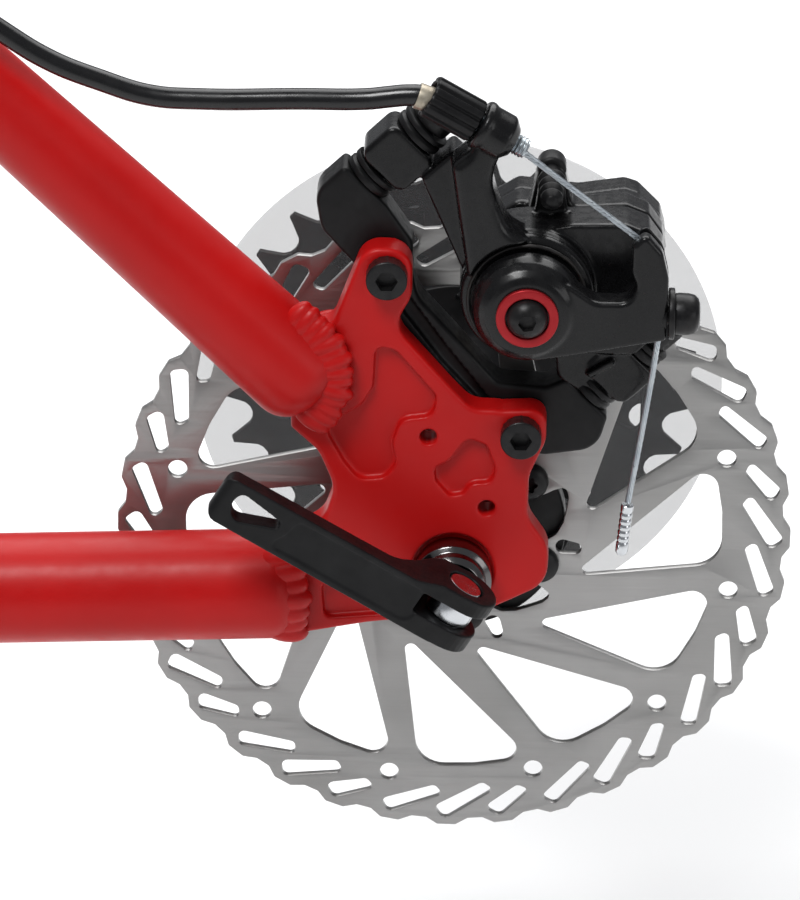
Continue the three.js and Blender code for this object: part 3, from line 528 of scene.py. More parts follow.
def polar_hole(corners, turn, steps=5):
    return rounded([(*polar(r, a + turn), radius) for r, a, radius in corners], steps)


def brake_rotor():
    rim = ridged(36, ((80.0, -1.6), (80.0, 1.6), (78.3, 3.8), (78.3, 6.4)), 0.9, 3)
    window = ((30.3, 0, 1.5), (64.4, 16.1, 7), (63.9, 28.4, 12), (64.4, 40.8, 6))
    slots = (
        ((70.6, -4.0, 1.4), (72.6, -1.8, 1.4), (78.4, -8.4, 1.5), (75.6, -11.2, 1.5)),
        ((68.6, -10.8, 1.4), (71.0, -8.6, 1.4), (78.7, -18.3, 1.5), (75.2, -20.4, 1.5)),
        ((69.2, -20.4, 1.3), (71.8, -18.6, 1.3), (78.2, -28.3, 1.4), (75.2, -30.4, 1.4)),
    )
    outlines = [rim, rotor_bore()]
    for i in range(6):
        outlines.append(circle(*polar(ROTOR_BOLT_R, ROTOR_BOLT_ANGLE + 60 * i), 2.75, 24))
        oval = [(24.6, -5.0, 2.3), (24.6, 5.0, 2.3), (30.8, 2.4, 2.3), (30.8, -2.4, 2.3)]
        outlines.append(polar_hole(oval, ROTOR_BOLT_ANGLE + 14 + 60 * i))
    for i in range(12):
        turn = ROTOR_HOLE_ANGLE + 30 * i
        outlines.append(circle(*polar(ROTOR_HOLE_R, turn), 2.3, 24))
        outlines.append(polar_hole(window, 7.5 + 30 * i, 8))
        outlines += [polar_hole(slot, turn, 4) for slot in slots]
    return plate("rotor", outlines, ROTOR_OUT_Y, ROTOR_IN_Y, 0.12, 1)


def make_rotor():
    place(brake_rotor(), "hub", ROTOR_STEEL, ["brake_rotor"], 30)
    for i in range(6):
        x, z = polar(ROTOR_BOLT_R, ROTOR_BOLT_ANGLE + 60 * i)
        bolt = move(button_bolt(f"rotor_bolt_head_{i + 1}"), x, ROTOR_OUT_Y - 0.15, z)
        place(bolt, "hub", OXIDE, [f"rotor_bolt_{i + 1}"])


# ---------------------------------------------------------------- hub
def hub_profile():
    return [
        (13.8, -55.6, 0.2), (17.2, -55.6, 0.4), (17.2, -51.9, 0.1), (26.6, -51.9, 0.6), (26.9, -46.6, 0.8),
        (17.4, -44.6, 3), (16, -39.8, 1.5), (21.5, -38.3, 1), (29.5, -38.3, 0.5), (29.5, -35.2, 0.5),
        (21.5, -35.2, 1), (16, -32.6, 3), (13, -27, 6), (13, 14, 6), (16, 20.5, 3), (21.5, 21.8, 1),
        (29.5, 21.8, 0.5), (29.5, 24.9, 0.5), (21.5, 24.9, 1), (16, 26.2, 2),
        (11.1, 28, 0.8), (11.1, 47.5, 0.2), (15.1, 47.5, 0.2), (15.1, 57.7, 0.3), (13.8, 57.7, 0.1),
        (13.8, 49.4, 1), (6.2, 49.4, 0), (6.2, -47.8, 0), (13.8, -47.8, 1),
    ]


def hub_shell():
    shell = turned("hub_barrel", rounded(hub_profile(), 4), 96)
    holes = []
    for i in range(SPOKES_PER_FLANGE):
        for y0, y1, turn in ((-40, -33, 0), (20, 27, 10)):
            x, z = polar(SPOKE_CIRCLE_R, turn + 360 / SPOKES_PER_FLANGE * i)
            holes.append(rod("spoke_hole", (x, y0, z), (x, y1, z), SPOKE_HOLE_R, 16, 0))
    for i in range(6):
        x, z = polar(ROTOR_BOLT_R, ROTOR_BOLT_ANGLE + 60 * i)
        holes.append(rod("bolt_hole", (x, -53, z), (x, -40, z), 2.6, 16, 0))
    return carve(shell, [join("holes", holes)])


def threaded_bar(name, radius, bore, y0, y1, thread_spans, pitch=1.0):
    """A hollow bar about the Y axis whose ends carry thread ridges."""
    profile = [(bore, y0), (radius - 0.5, y0)]
    for start, stop in thread_spans:
        y = start
        while y < stop:
            profile += [(radius - 0.45, y), (radius, y + pitch * 0.5)]
            y += pitch
    profile += [(radius - 0.5, y1), (bore, y1)]
    return turned(name, profile, 48)


def hexagon_nut(name, y0, y1, flats, bore):
    nut = plate(name, [circle(0, 0, flats, 6, 30), circle(0, 0, bore, 40)], y0, y1, 0.25)
    crown = turned("crown", [(bore - 0.5, y0 - 1), (flats * 0.93, y0 - 1), (flats * 0.93, y0),
                             (flats + 0.1, y0 + 1.1), (flats + 0.1, y1 - 1.1), (flats * 0.93, y1),
                             (flats * 0.93, y1 + 1), (bore - 0.5, y1 + 1)], 64)
    boolean(nut, [crown], "INTERSECT")
    clean(nut.data)
    return nut


def conical_spring(name, y0, y1, r0, r1, turns, wire):
    points = []
    for i in range(turns * 12 + 1):
        part = i / (turns * 12)
        x, z = polar(r0 + (r1 - r0) * part, 360 * turns * part)
        points.append((x, y0 + (y1 - y0) * part, z))
    return tube(name, points, wire, 3, 3)


def caged_balls(side, y):
    """Nine balls and the ring that keeps them apart."""
    ring = [(9.8, y - 0.9), (11, y - 0.9), (11, y + 0.9), (9.8, y + 0.9)]
    pieces = [turned("cage", softened(ring, 0.2), 48)]
    for i in range(9):
        bm = bmesh.new()
        bmesh.ops.create_icosphere(bm, subdivisions=3, radius=BALL_R * MM)
        x, z = polar(BALL_CIRCLE_R, 40 * i)
        pieces.append(move(from_bmesh("ball", bm), x, y, z))
    return join(f"{side}_balls", pieces)


def make_hub():
    place(hub_shell(), "hub", SATIN, ["hub_shell"])
    axle = threaded_bar("axle_bar", 4.9, 2.9, -73, 73, ((-72.5, -56), (56, 72.5)))
    place(axle, ROOT, DARK, ["axle"], 20)
    place(hexagon_nut("left_locknut", -67.2, -60.3, 9.8, 5.2), ROOT, DARK, ["locknut_left"])
    place(hexagon_nut("right_locknut", 62, 67.5, 9.8, 5.2), ROOT, DARK, ["locknut_right"])
    cap = [(8.9, -58.2), (16.5, -58.2), (16.5, -55.9), (13.5, -55.9), (13.5, -54.9), (12.7, -54.9),
           (12.7, -57), (8.9, -57)]
    place(turned("left_dust_cap", softened(cap, 0.35), 72), "hub", SATIN, ["dust_cap_left"])
    for side, y, sign in (("left", -51.3, -1), ("right", 53.0, 1)):
        cone = [(5.2, 8.7), (8.5, 8.7), (8.5, 3.6), (7.6, 1.9), (6.9, 0), (6.3, -2.1), (5.2, -2.1)]
        obj = turned(f"{side}_cone", softened([(r, y + sign * o) for r, o in cone], 0.2, 2), 48)
        place(obj, ROOT, BRIGHT, [f"cone_{side}"])
        place(caged_balls(side, y), f"ball_cage_{side}", BRIGHT, [f"caged_balls_{side}"], 50)


# ---------------------------------------------------------------- sprockets
def pitch_radius(teeth):
    return CHAIN_PITCH / (2 * math.sin(math.pi / teeth))


def tooth_outline(teeth):
    """Sprocket teeth with round roller seats, for half inch chain."""
    pitch_r = pitch_radius(teeth)
    step = 360 / teeth
    points = []
    for i in range(teeth):
        seat = polar(pitch_r, i * step)
        for k in range(7):
            angle = i * step + 180 - (k - 3) * 24
            points.append(polar(ROLLER_SEAT_R, angle, seat))
        for rise, part in ((1.6, 0.40), (2.9, 0.44), (2.9, 0.56), (1.6, 0.60)):
            points.append(polar(pitch_r + rise, (i + part) * step))
    return points


def sprocket(teeth, y):
    """A sprocket on the plane y. The large ones have six windows."""
    outlines = [tooth_outline(teeth), circle(0, 0, SPROCKET_BORE_R, 48)]
    root = pitch_radius(teeth) - 4
    if root > 30:
        for i in range(6):
            window = [(root - 4.5, -18, 2), (root - 4.5, 18, 2), (25, 13, 2), (25, -13, 2)]
            outlines.append(polar_hole(window, 60 * i))
    return plate(f"sprocket_{teeth}", outlines, y - 0.95, y + 0.95, 0.25, 1)


def spacer(outer_r, y0, y1):
    return turned("spacer", softened([(17.65, y0), (outer_r, y0), (outer_r, y1), (17.65, y1)], 0.3), 64)


def freehub_driver():
    splines = ridged(9, ((16.4, 0), (17.2, 3), (17.2, 21), (16.4, 24)), 0.3)
    splined = plate("driver", [splines, circle(0, 0, 15.5, 48)], 31.4, 63.6, 0.2)
    sleeve = [(11.5, 28.6), (18.9, 28.6), (18.9, 31.5), (16.2, 31.6), (16.2, 47), (11.5, 47)]
    return join("sprocket_driver", [splined, turned("inner", softened(sleeve, 0.3), 64)])


def sprocket_stack():
    """Six sprockets with spacers between them. Rivets hold the three largest together."""
    rings = []
    for k, teeth in enumerate(SPROCKET_TEETH):
        y = 34 + SPROCKET_STEP * k
        rings.append(sprocket(teeth, y))
        if k:
            rings.append(spacer(20.4, y - 3.85, y - 0.95))
        if k < 3:
            for i in range(3):
                x, z = polar(22.6, 120 * i + 20)
                rings.append(rod("rivet", (x, y - 1.3, z), (x, y + SPROCKET_STEP, z), 1.5, 16, 0.3))
    return join("sprocket_stack", rings)


def lockring():
    profile = [(12.6, 64.1), (14, 64.1), (14, 58.6), (15.2, 58.6), (15.2, 64.1), (18.4, 64.1),
               (18.4, 65.4), (12.6, 65.4)]
    notches = []
    for i in range(12):
        x, z = polar(12.6, 30 * i)
        notches.append(rod("notch", (x, 63, z), (x, 66, z), 0.8, 12, 0))
    return carve(turned("lockring", softened(profile, 0.2, 2), 72), [join("notches", notches)])


def make_freehub():
    place(freehub_driver(), "freehub", DARK, ["freehub_driver"])
    place(sprocket_stack(), "freehub", DARK, ["sprocket_cluster"], 30)
    small = join("small_sprocket", [sprocket(14, 62.8), spacer(20, 59.3, 62)])
    place(small, "freehub", DARK, ["sprocket_smallest"], 30)
    place(lockring(), "freehub", BRIGHT, ["cassette_lockring"])
    disc = [(21.5, 29.3), (60, 29.3), (64, 29.2), (65.8, 29.2), (65.8, 30.4), (63.5, 30.4), (60, 30.3),
            (21.5, 30.3)]
    place(turned("clear_disc", softened(disc, 0.3, 2), 128), "hub", CLEAR,
          ["spoke_protector"])


# ---------------------------------------------------------------- frame end
DROPOUT_RIGHT = [
    (-22.3, 81.9, 5.5), (-11.1, 81.9, 5.5), (-11, 70, 8), (-15, 62.5, 8), (-1, 46.5, 5), (3.5, 41.8, 7),
    (8.8, 41.8, 3), (10.6, 41.6, 2), (20.9, 42.3, 5.5), (20.9, 34, 7), (17.2, 25, 9), (17.2, 14, 8),
    (22.4, 6.5, 8), (22.2, -3, 8), (14.5, -7.2, 6), (5.2, -12, 1.5),
]
DROPOUT_LEFT = [
    (-5.2, -12.5, 1.5), (-20, -14.6, 6), (-38.5, -18.5, 1), (-38.5, 7.5, 2), (-30.5, 12.5, 7),
    (-28, 20.5, 9), (-32, 30, 8), (-38.5, 36, 1), (-38.5, 61, 1.5), (-29.2, 62.4, 4),
]
POCKET_HIGH = [
    (-19.3, 57.5, 3), (-14.5, 56.5, 3), (-4.6, 44.9, 3), (-5.6, 39.8, 3), (-13, 38.7, 3.5),
    (-14.8, 32.6, 4), (-13.6, 27.4, 4), (-16.5, 23.6, 3), (-22.5, 22.9, 4), (-26, 27.4, 3),
    (-30.3, 35.2, 3), (-28.3, 38.5, 2), (-22.3, 42.2, 4), (-19.6, 46.9, 4),
]
POCKET_LOW = [
    (2.6, 34.6, 2.5), (-1.6, 28.5, 3), (-5, 26.5, 2), (-4.6, 23.2, 2), (-1.3, 19.2, 2), (2, 19.8, 2),
    (3.6, 22.6, 3), (8.5, 23, 2.5), (9.4, 26.6, 2.5), (7.2, 32.8, 2.5),
]
POCKET_STAY = [(-31, -3, 2), (-14, -9.5, 3), (-16, -12.0, 2), (-30, -13.5, 2)]


def dropout():
    slot_top = [polar(5.2, 15 * i) for i in range(13)]
    outline = rounded([*DROPOUT_RIGHT, *slot_top, *DROPOUT_LEFT], 8)
    body = plate("dropout", [outline], DROPOUT_OUT, DROPOUT_IN, 1.1, 4)
    floor = DROPOUT_OUT + 2.0
    tools = [plate("pocket", [rounded(p, 8)], DROPOUT_OUT - 2, floor, 0.7, 3)
             for p in (POCKET_HIGH, POCKET_LOW, POCKET_STAY)]
    dish = [(0, DROPOUT_OUT - 1), (10.4, DROPOUT_OUT - 1), (9.8, DROPOUT_OUT), (8.8, floor), (0, floor)]
    tools.append(turned("dish", dish, 64))
    for places, radius in ((((-6.5, 34.5), (7.5, 16.5)), 2), (TAB_BOLTS, 3.1)):
        tools += [rod("drilled", (x, -80, z), (x, -60, z), radius, 32, 0) for x, z in places]
    return cast(carve(body, tools), 0.32, 4, 0.35)


def stay_skin(name, far, near, far_r, near_r, end_length, end_r):
    """A stay end: a tube, open at its far end, that closes down towards the dropout plate."""
    length = (Vector(near) - Vector(far)).length
    full = length - end_length
    profile = [(far_r - 1.8, 0), (far_r - 0.25, 0), (far_r, 0.25)]
    for k in range(1, 7):
        profile.append((far_r + (near_r - far_r) * k / 6, full * k / 6))
    for k in range(1, 9):
        angle = math.radians(90 * k / 8)
        profile.append((end_r + (near_r - end_r) * math.cos(angle), full + end_length * math.sin(angle)))
    profile += [(end_r, length), (end_r - 0.4, length), (near_r - 3, full - 1), (far_r - 1.8, 1)]
    return aim(turned(name, profile, 72), far, Vector(near) - Vector(far))


def along_path(line, distance):
    """The point at a distance along a broken line, and the direction of the line there."""
    k = 0
    while k < len(line) - 2 and distance > (line[k + 1] - line[k]).length:
        distance -= (line[k + 1] - line[k]).length
        k += 1
    part = distance / (line[k + 1] - line[k]).length
    return line[k].lerp(line[k + 1], part), (line[k + 1] - line[k]).normalized()


def weld_scale(centre, along, size, lean):
    """One scale of a weld bead: a flattened ball that leans back along the bead."""
    across = along.cross(Vector((0, -1, 0))).normalized()
    out = across.cross(along).normalized()
    basis = Matrix.Rotation(lean, 3, across) @ Matrix((along, across, out)).transposed()
    bm = bmesh.new()
    bmesh.ops.create_uvsphere(bm, u_segments=20, v_segments=14, radius=1.0)
    for vertex in bm.verts:
        vertex.co = (centre + basis @ (vertex.co * size)) * MM
    return from_bmesh("scale", bm)


def weld_bead(name, path, width, height, spacing, lean):
    """Overlapping scales along a path of (x, y, z), like a hand laid bead."""
    line = [Vector(p) for p in path]
    total = sum((b - a).length for a, b in zip(line, line[1:]))
    count = max(2, int(total / spacing))
    scales = []
    for i in range(count + 1):
        centre, along = along_path(line, total * i / count)
        grow = 1 + 0.07 * math.sin(2.3 * i) + 0.05 * random.uniform(-1, 1)
        size = Vector((spacing * 1.15, width / 2 * grow, height * grow))
        scales.append(weld_scale(centre, along, size, lean))
    return cast(join(name, scales), 0.28, 2, 0.5)


SEATSTAY_WELD = [
    (-37.6, -76.1, 64.2), (-34.6, -76.9, 62.0), (-31.3, -77.6, 58.8), (-29.2, -78.0, 54.0),
    (-28.8, -78.1, 48.9), (-30.4, -77.9, 43.8), (-33.5, -77.3, 39.5),
]
CHAINSTAY_WELD = [
    (-40.2, -77.4, 3.2), (-39.4, -78.8, 0), (-39.0, -79.6, -4), (-39.0, -79.6, -9), (-39.2, -78.2, -13),
    (-39.8, -77.0, -15.2),
]


def inner_side(path):
    """The same path on the wheel side of the stays."""
    return [(x, 2 * STAY_Y - y, z) for x, y, z in path]


def make_frame_end():
    place(dropout(), ROOT, PAINT, ["dropout_plate"], 50)
    seat = stay_skin("seatstay", (-114, STAY_Y, 122), (-31.6, STAY_Y, 43.9), 10.2, 12.2, 8, 4.4)
    place(seat, ROOT, PAINT, ["seatstay_end"])
    chain = stay_skin("chainstay", (-114, STAY_Y, -10.2), (-35.5, STAY_Y, -6.3), 13, 13, 7, 5.2)
    place(chain, ROOT, PAINT, ["chainstay_end"])
    for name, path, width, height, spacing, lean in (
            ("seatstay_weld_outer", SEATSTAY_WELD, 10.6, 2.7, 2.2, 0.35),
            ("seatstay_weld_inner", inner_side(SEATSTAY_WELD[2:]), 9.6, 2.4, 2.2, 0.35),
            ("chainstay_weld_outer", CHAINSTAY_WELD, 12, 3.3, 3.0, 0.4),
            ("chainstay_weld_inner", inner_side(CHAINSTAY_WELD), 12, 3.0, 3.0, 0.4)):
        place(weld_bead(name, path, width, height, spacing, lean), ROOT, PAINT, angle=60)


# ---------------------------------------------------------------- quick release
PIN_W = Vector((math.sin(PIN_TILT), 0, math.cos(PIN_TILT)))
LEVER_U = Vector((-math.cos(PIN_TILT), 0, math.sin(PIN_TILT)))


def in_lever_frame(obj):
    """Turns a piece made with x along the lever and z along its pin into place."""
    basis = Matrix((LEVER_U, Vector((0, 1, 0)), PIN_W)).transposed().to_4x4()
    obj.data.transform(basis)
    clean(obj.data)
    return obj


def lever_side():
    """The lever's side view as an extrusion along the pin, made from an outline of (x, y)."""
    outline = rounded([
        (-8.2, -101.2, 7.5), (22, -101.3, 20), (62.4, -101.3, 2.2), (62.4, -96, 2.2), (18, -95.6, 8),
        (8.3, -87, 6), (-8.2, -85.6, 7.5),
    ], 8)
    solid = plate("side", [outline], -20, 20)
    swap = Matrix(((1, 0, 0, 0), (0, 0, 1, 0), (0, -1, 0, 0), (0, 0, 0, 1)))
    solid.data.transform(swap)
    clean(solid.data)
    return solid


def qr_lever():
    plan = rounded([
        (-9, -7.3, 1.5), (4, -7.6, 6), (57, -7.3, 6), (62.4, -7.3, 5.5), (62.4, 4.5, 5.5), (57, 4.5, 6),
        (12, 4.6, 6), (6, 6.7, 3), (-9, 6.7, 1.5),
    ], 8)
    blade = boolean(plate("lever", [plan], -103, -84), [lever_side()], "INTERSECT")
    clean(blade.data)
    window = plate("window", [rounded([
        (58.6, -0.9, 3), (57.8, 2.4, 3), (46.4, 0.7, 0.8), (46.2, -1.2, 0.8), (56.6, -5, 2.4),
    ], 6)], -105, -92)
    fork = plate("fork", [[(-12, -2.7), (9, -2.7), (9, 2.7), (-12, 2.7)]], -104, -80)
    bore = rod("bore", (0, PIN_Y, -20), (0, PIN_Y, 20), 4.5, 48, 0)
    rim = plate("rim", [rounded([(46.5, -6, 2), (40, -5.9, 2), (8, -6, 3), (8, 3.2, 3), (43, 3.2, 2),
                                 (44, -1.6, 2)], 5)], -102, -100.95, 0.25)
    carve(blade, [window, fork, bore, rim])
    return in_lever_frame(cast(blade, 0.26, 3, 0.4))


def make_quick_release():
    place(qr_lever(), "lever", SATIN, ["qr_lever"], 50)
    pin = rod("pin", (0, PIN_Y, -7.0), (0, PIN_Y, 6.4), 4.3, 48, 0.4)
    place(in_lever_frame(pin), "skewer", BRIGHT, ["qr_cam_pin"])
    eye = turned("eye", softened([(0.5, -2.3), (5.6, -2.3), (5.6, 2.3), (0.5, 2.3)], 0.5), 48)
    eye.data.transform(Matrix.Rotation(math.pi / 2, 4, "X"))
    in_lever_frame(move(eye, 0, PIN_Y, 0))
    thread = [(2.5 - 0.35 * (k % 2), 74 + 0.4 * k) for k in range(44)]
    bar = turned("bar", [(0, -91), (2.5, -91), (2.5, 74), *thread, (2.1, 92), (0, 92)], 32)
    place(join("skewer_rod", [bar, eye]), "skewer", BRIGHT, ["qr_rod"])
    cap = [(2.9, -84.9), (6.6, -84.9), (7.7, -83.6), (7.9, -82), (9.2, -81.2), (9.2, -75.8), (6.4, -75.8),
           (6.4, -78.6), (2.9, -78.6)]
    place(turned("cam_cap", softened(cap, 0.5), 64), "skewer", POLISHED_PAINTED_REFLECTION, ["qr_cam_cap"])
    for side, y0, y1, r0, r1 in (("left", -78, -73.9, 5.4, 3.6), ("right", 73.9, 78.4, 3.6, 5.4)):
        spring = conical_spring(f"{side}_spring", y0, y1, r0, r1, 3, 0.35)
        place(spring, ROOT, BRIGHT, [f"qr_spring_{side}"], 60)
    nut_ribs = ridged(24, ((8.1, 0), (8.6, 7.5)), 0.4)
    nut = plate("end_nut", [nut_ribs, circle(0, 0, 2.7, 32)], 75, 88, 0.6, 3)
    recess = rod("recess", (0, 74, 0), (0, 79, 0), 6.5, 48, 0)
    place(carve(nut, [recess]), "skewer_nut", SATIN, ["qr_nut"])


# ---------------------------------------------------------------- adapter and its bolts
def adapter():
    outline = rounded([
        (*on_bolt(POST_UP, 0, -6.9), 1.2), (-34, 92, 6), (-32.5, 83, 6), (-24, 73.5, 4), (-23.4, 66, 5),
        (-6, 44, 8), (6, 31, 8), (20, 26.5, 8), (33, 28.6, 7), (*on_bolt(POST_LOW, 0, 6.9), 1.2),
        (*on_bolt(POST_LOW, 0, -6.9), 1.2), (20.5, 44.2, 3), (9.5, 44.8, 4), (-9.8, 66.5, 8), (-11.3, 74, 5),
        (-11, 80, 4), (*on_bolt(POST_UP, 0, 6.9), 1.2),
    ], 8)
    body = plate("adapter", [outline], DROPOUT_IN + 0.15, -57.6, 0.9, 3)
    trench = [(-18, 69, 2), (-4, 50.5, 3), (6.5, 38.8, 3), (8, 40.5, 2), (-3, 54.5, 3), (-13, 68.5, 2)]
    groove = plate("groove", [rounded(trench, 5)], -69, -65.6, 0.5, 2)
    holes = [rod("thread", in_plane(on_bolt(p, -10), MOUNT_Y), in_plane(on_bolt(p, 2), MOUNT_Y), 3.2, 24, 0)
             for p in (POST_UP, POST_LOW)]
    return cast(carve(body, [groove, *holes]), 0.36, 3, 0.4)


def washer_pair(name, post, along):
    """A cupped washer on a domed one, so that the caliper can tilt a little."""
    lower = softened([(3.4, 0), (6.2, 0), (6.2, 1.3), (5.6, 2.0), (3.4, 2.0)], 0.2, 2)
    upper = softened([(3.4, 2.05), (5.2, 2.05), (6.2, 2.4), (6.2, 3.65), (3.4, 3.65)], 0.2, 2)
    pair = join(name, [turned("lower", lower, 48), turned("upper", upper, 48)])
    return aim(pair, in_plane(on_bolt(post, along), MOUNT_Y), (math.sqrt(0.5), 0, math.sqrt(0.5)))


def make_adapter():
    place(adapter(), ROOT, SATIN, ["caliper_adapter"], 50)
    for i, (x, z) in enumerate(TAB_BOLTS):
        screw = socket_screw(f"tab_bolt_{i + 1}", 4.8, 4.4, 2.9, 17.3, 2.6, 0.5, 30)
        place(move(screw, x, DROPOUT_OUT - 0.1, z), ROOT, OXIDE, [f"adapter_bolt_{i + 1}"])
    down = (-math.sqrt(0.5), 0, -math.sqrt(0.5))
    for side, post in (("upper", POST_UP), ("lower", POST_LOW)):
        screw = socket_screw(f"{side}_mount_bolt", 5, 6, 2.9, 28, 2.9, 0.6, 32)
        aim(screw, in_plane(on_bolt(post, 20), MOUNT_Y), down)
        place(screw, ROOT, OXIDE, [f"mount_bolt_{side}"])
        for end, along in (("inner", 0.3), ("outer", 16)):
            washers = washer_pair(f"{side}_{end}_washers", post, along)
            place(washers, ROOT, SATIN, [f"washers_{end}_{side}"])


# ---------------------------------------------------------------- caliper
INNER_FACE = -57.8


def ear(post):
    corners = [(*on_bolt(post, s, t), 2.6) for s, t in ((4.3, -6.9), (15.7, -6.9), (15.7, 6.9), (4.3, 6.9))]
    return plate("ear", [rounded(corners, 5)], MOUNT_Y - 5.7, MOUNT_Y + 5.7, 1.0, 2)


def caliper_outboard():
    housing = turned("caliper_outboard", [
        (0, -75.5), (13.6, -75.5), (14.8, -75.2), (15.5, -74.4), (15.6, -73.2), (15.0, -72.6), (15.0, -71.8),
        (15.6, -71.2), (15.6, INNER_FACE), (0, INNER_FACE)], 96, PIVOT)
    flange = plate("flange", [rounded([
        (12, 84, 1), (25.4, 86.6, 2), (38, 87, 2), (43, 85, 2), (46.6, 80, 2), (47.2, 74, 3),
        (46.5, 60, 4), (41, 54, 3), (30, 54, 4), (18, 57, 2)], 5)], -69.5, INNER_FACE, 0.8, 2)
    neck = plate("neck", [rounded([
        (-2.8, 103.6, 2), (1.2, 107, 3), (3.6, 112.5, 2), (9.8, 110, 2), (7.4, 104, 3), (6.6, 100, 5),
        (8.2, 94, 8), (10.5, 88.5, 6), (16, 85, 2), (12, 74, 2), (1.5, 76, 2)], 5)], -78.0, -66, 2.2, 4)
    web = plate("web", [rounded([(-9.6, 97, 1), (-2.4, 104, 1), (6, 96, 3), (12, 78, 2), (1.4, 72, 1)], 4)],
                -69.5, INNER_FACE, 0.8, 2)
    link_bar = plate("link", [rounded([(22, 58, 2), (23, 47, 2), (33, 40.5, 2), (41, 44, 2), (42, 60, 2)], 4)],
                     -67.5, INNER_FACE, 0.8, 2)
    rib = plate("rib", [rounded([(30.4, 47.6, 1), (36.5, 51.5, 1), (35.7, 52.9, 1), (29.6, 49, 1)], 3)],
                -69.5, -66, 0.5, 2)
    boss = rod("boss", on_cable(-12.4), on_cable(-3.2), 5.5, 48, 2.2)
    collar = rod("collar", on_cable(-12.6), on_cable(-10.2), 5.9, 48, 0.6)
    lug = plate("lug", [rounded([(16.4, 84, 1), (17.9, 96.4, 2.4), (22.9, 96.4, 2.4), (24.6, 84, 1)], 5)],
                -61.5, INNER_FACE, 0.8, 2)
    parts = [housing, flange, neck, web, link_bar, rib, ear(POST_UP), ear(POST_LOW), boss, collar, lug]
    tools = [
        turned("bore", [(0, -50), (11.3, -50), (11.3, -60.2), (9.3, -60.2), (9.3, -73), (0, -73)], 64, PIVOT),
        rod("cable_way", on_cable(-20), on_cable(4), 2.7, 24, 0),
        turned("arm_room", [(0, -92), (14.7, -92), (14.7, -75.9), (0, -75.9)], 96, PIVOT),
        plate("tab_way", [tab_strip(2.6)], -61, -50),
    ]
    for post in (POST_UP, POST_LOW):
        start = in_plane(on_bolt(post, 15.7), MOUNT_Y)
        tools.append(rod("head_room", start, in_plane(on_bolt(post, 40), MOUNT_Y), 6.9, 32, 0))
    return fused_casting("outboard_half", parts, tools, 0.32, 7, 0.4)


def tab_strip(half_width):
    """The strip of a pad's pull tab, pointing down and forward from the pivot."""
    turn = math.radians(24.8)
    c, s = math.cos(turn), math.sin(turn)
    corners = ((-half_width, 0), (-half_width, -21), (half_width, -21), (half_width, 0))
    return [(PIVOT[0] + x * c + z * s, PIVOT[1] - x * s + z * c) for x, z in corners]


def caliper_inboard():
    outline = [
        (4, 58, 6), (4, 78, 5), (13, 84, 3), (27, 82.6, 2), (37.8, 84.4, 2), (41, 83.4, 2), (46.4, 78, 2),
        (47.8, 73, 3), (44, 60, 6), (30, 54, 8)]
    back = plate("caliper_inboard", [rounded(outline, 6)], -50.6, -34, 1.4, 3)
    bridge = plate("bridge", [rounded([
        (14.6, 81, 1), (17.6, 96.6, 2.6), (23.2, 96.6, 2.6), (25.4, 86, 2), (38, 87, 2), (43, 85, 2),
        (46.6, 80, 2), (47.4, 74, 2), (46.8, 70, 1), (38, 76.5, 1), (28, 81, 1)], 5)],
        INNER_FACE + 0.2, -50, 0.8, 2)
    inner = rounded([(6, 77, 1), (13, 83.2, 2), (27, 81.9, 2), (37.8, 83.7, 2), (40.8, 82.8, 2),
                     (45.8, 77.7, 2), (47.1, 73, 2), (44, 62, 2)], 5)
    outer = rounded([(0, 80, 1), (8, 92, 1), (27, 92, 2), (42, 95, 2), (52, 88, 2), (54, 80, 2),
                     (54, 60, 2)], 5)
    tools = [
        turned("bore", [(0, -31), (4.6, -31), (4.6, -42), (11.3, -46.4), (11.3, -60), (0, -60)], 64, PIVOT),
        plate("tab_way", [tab_strip(2.6)], -52, -46.4),
        plate("seam", [[*inner, *reversed(outer)]], -42.4, -41.8)]
    return fused_casting("inboard_half", [back, bridge], tools, 0.3, 3, 0.4)


def brake_pad(name, back_y, seam_y, face_y):
    backing = rounded([(*polar(10.9, a, PIVOT), 0.8) for a in range(-60, 241, 20)] +
                      [(*p, 0.8) for p in tab_strip(2.0)[1:3]], 3)
    low, high = sorted((back_y, seam_y))
    steel = plate(name, [backing], low, high, 0.2)
    low, high = sorted((seam_y, face_y))
    lining = plate("lining", [[polar(10.2, a, PIVOT) for a in range(0, 360, 6)]], low, high, 0.3)
    return join(name, [steel, lining])


def ribbed_boot():
    """The rubber boot on the sliding bolt: four ridges that grow towards the caliper, and a round tip."""
    profile = [(0, -75.4), (1.0, -75.3), (1.6, -74.9)]
    for k in range(4):
        y = -74.6 + 3.2 * k
        ridge = 2.6 + 0.24 * k
        profile += [(ridge - 0.95, y), (ridge, y + 0.8), (ridge, y + 1.4), (ridge - 0.95, y + 2.2)]
    profile += [(1.8, -62.2), (1.8, -56), (0, -56)]
    return turned("bolt_boot", profile, 48, BODY_BOLTS[0])


def bolt_cap():
    profile = softened([(0, -57.4), (3.4, -57.4), (3.4, -51.4), (0, -51.4)], 1.1, 5)
    return turned("bolt_cap", profile, 48, BODY_BOLTS[0])


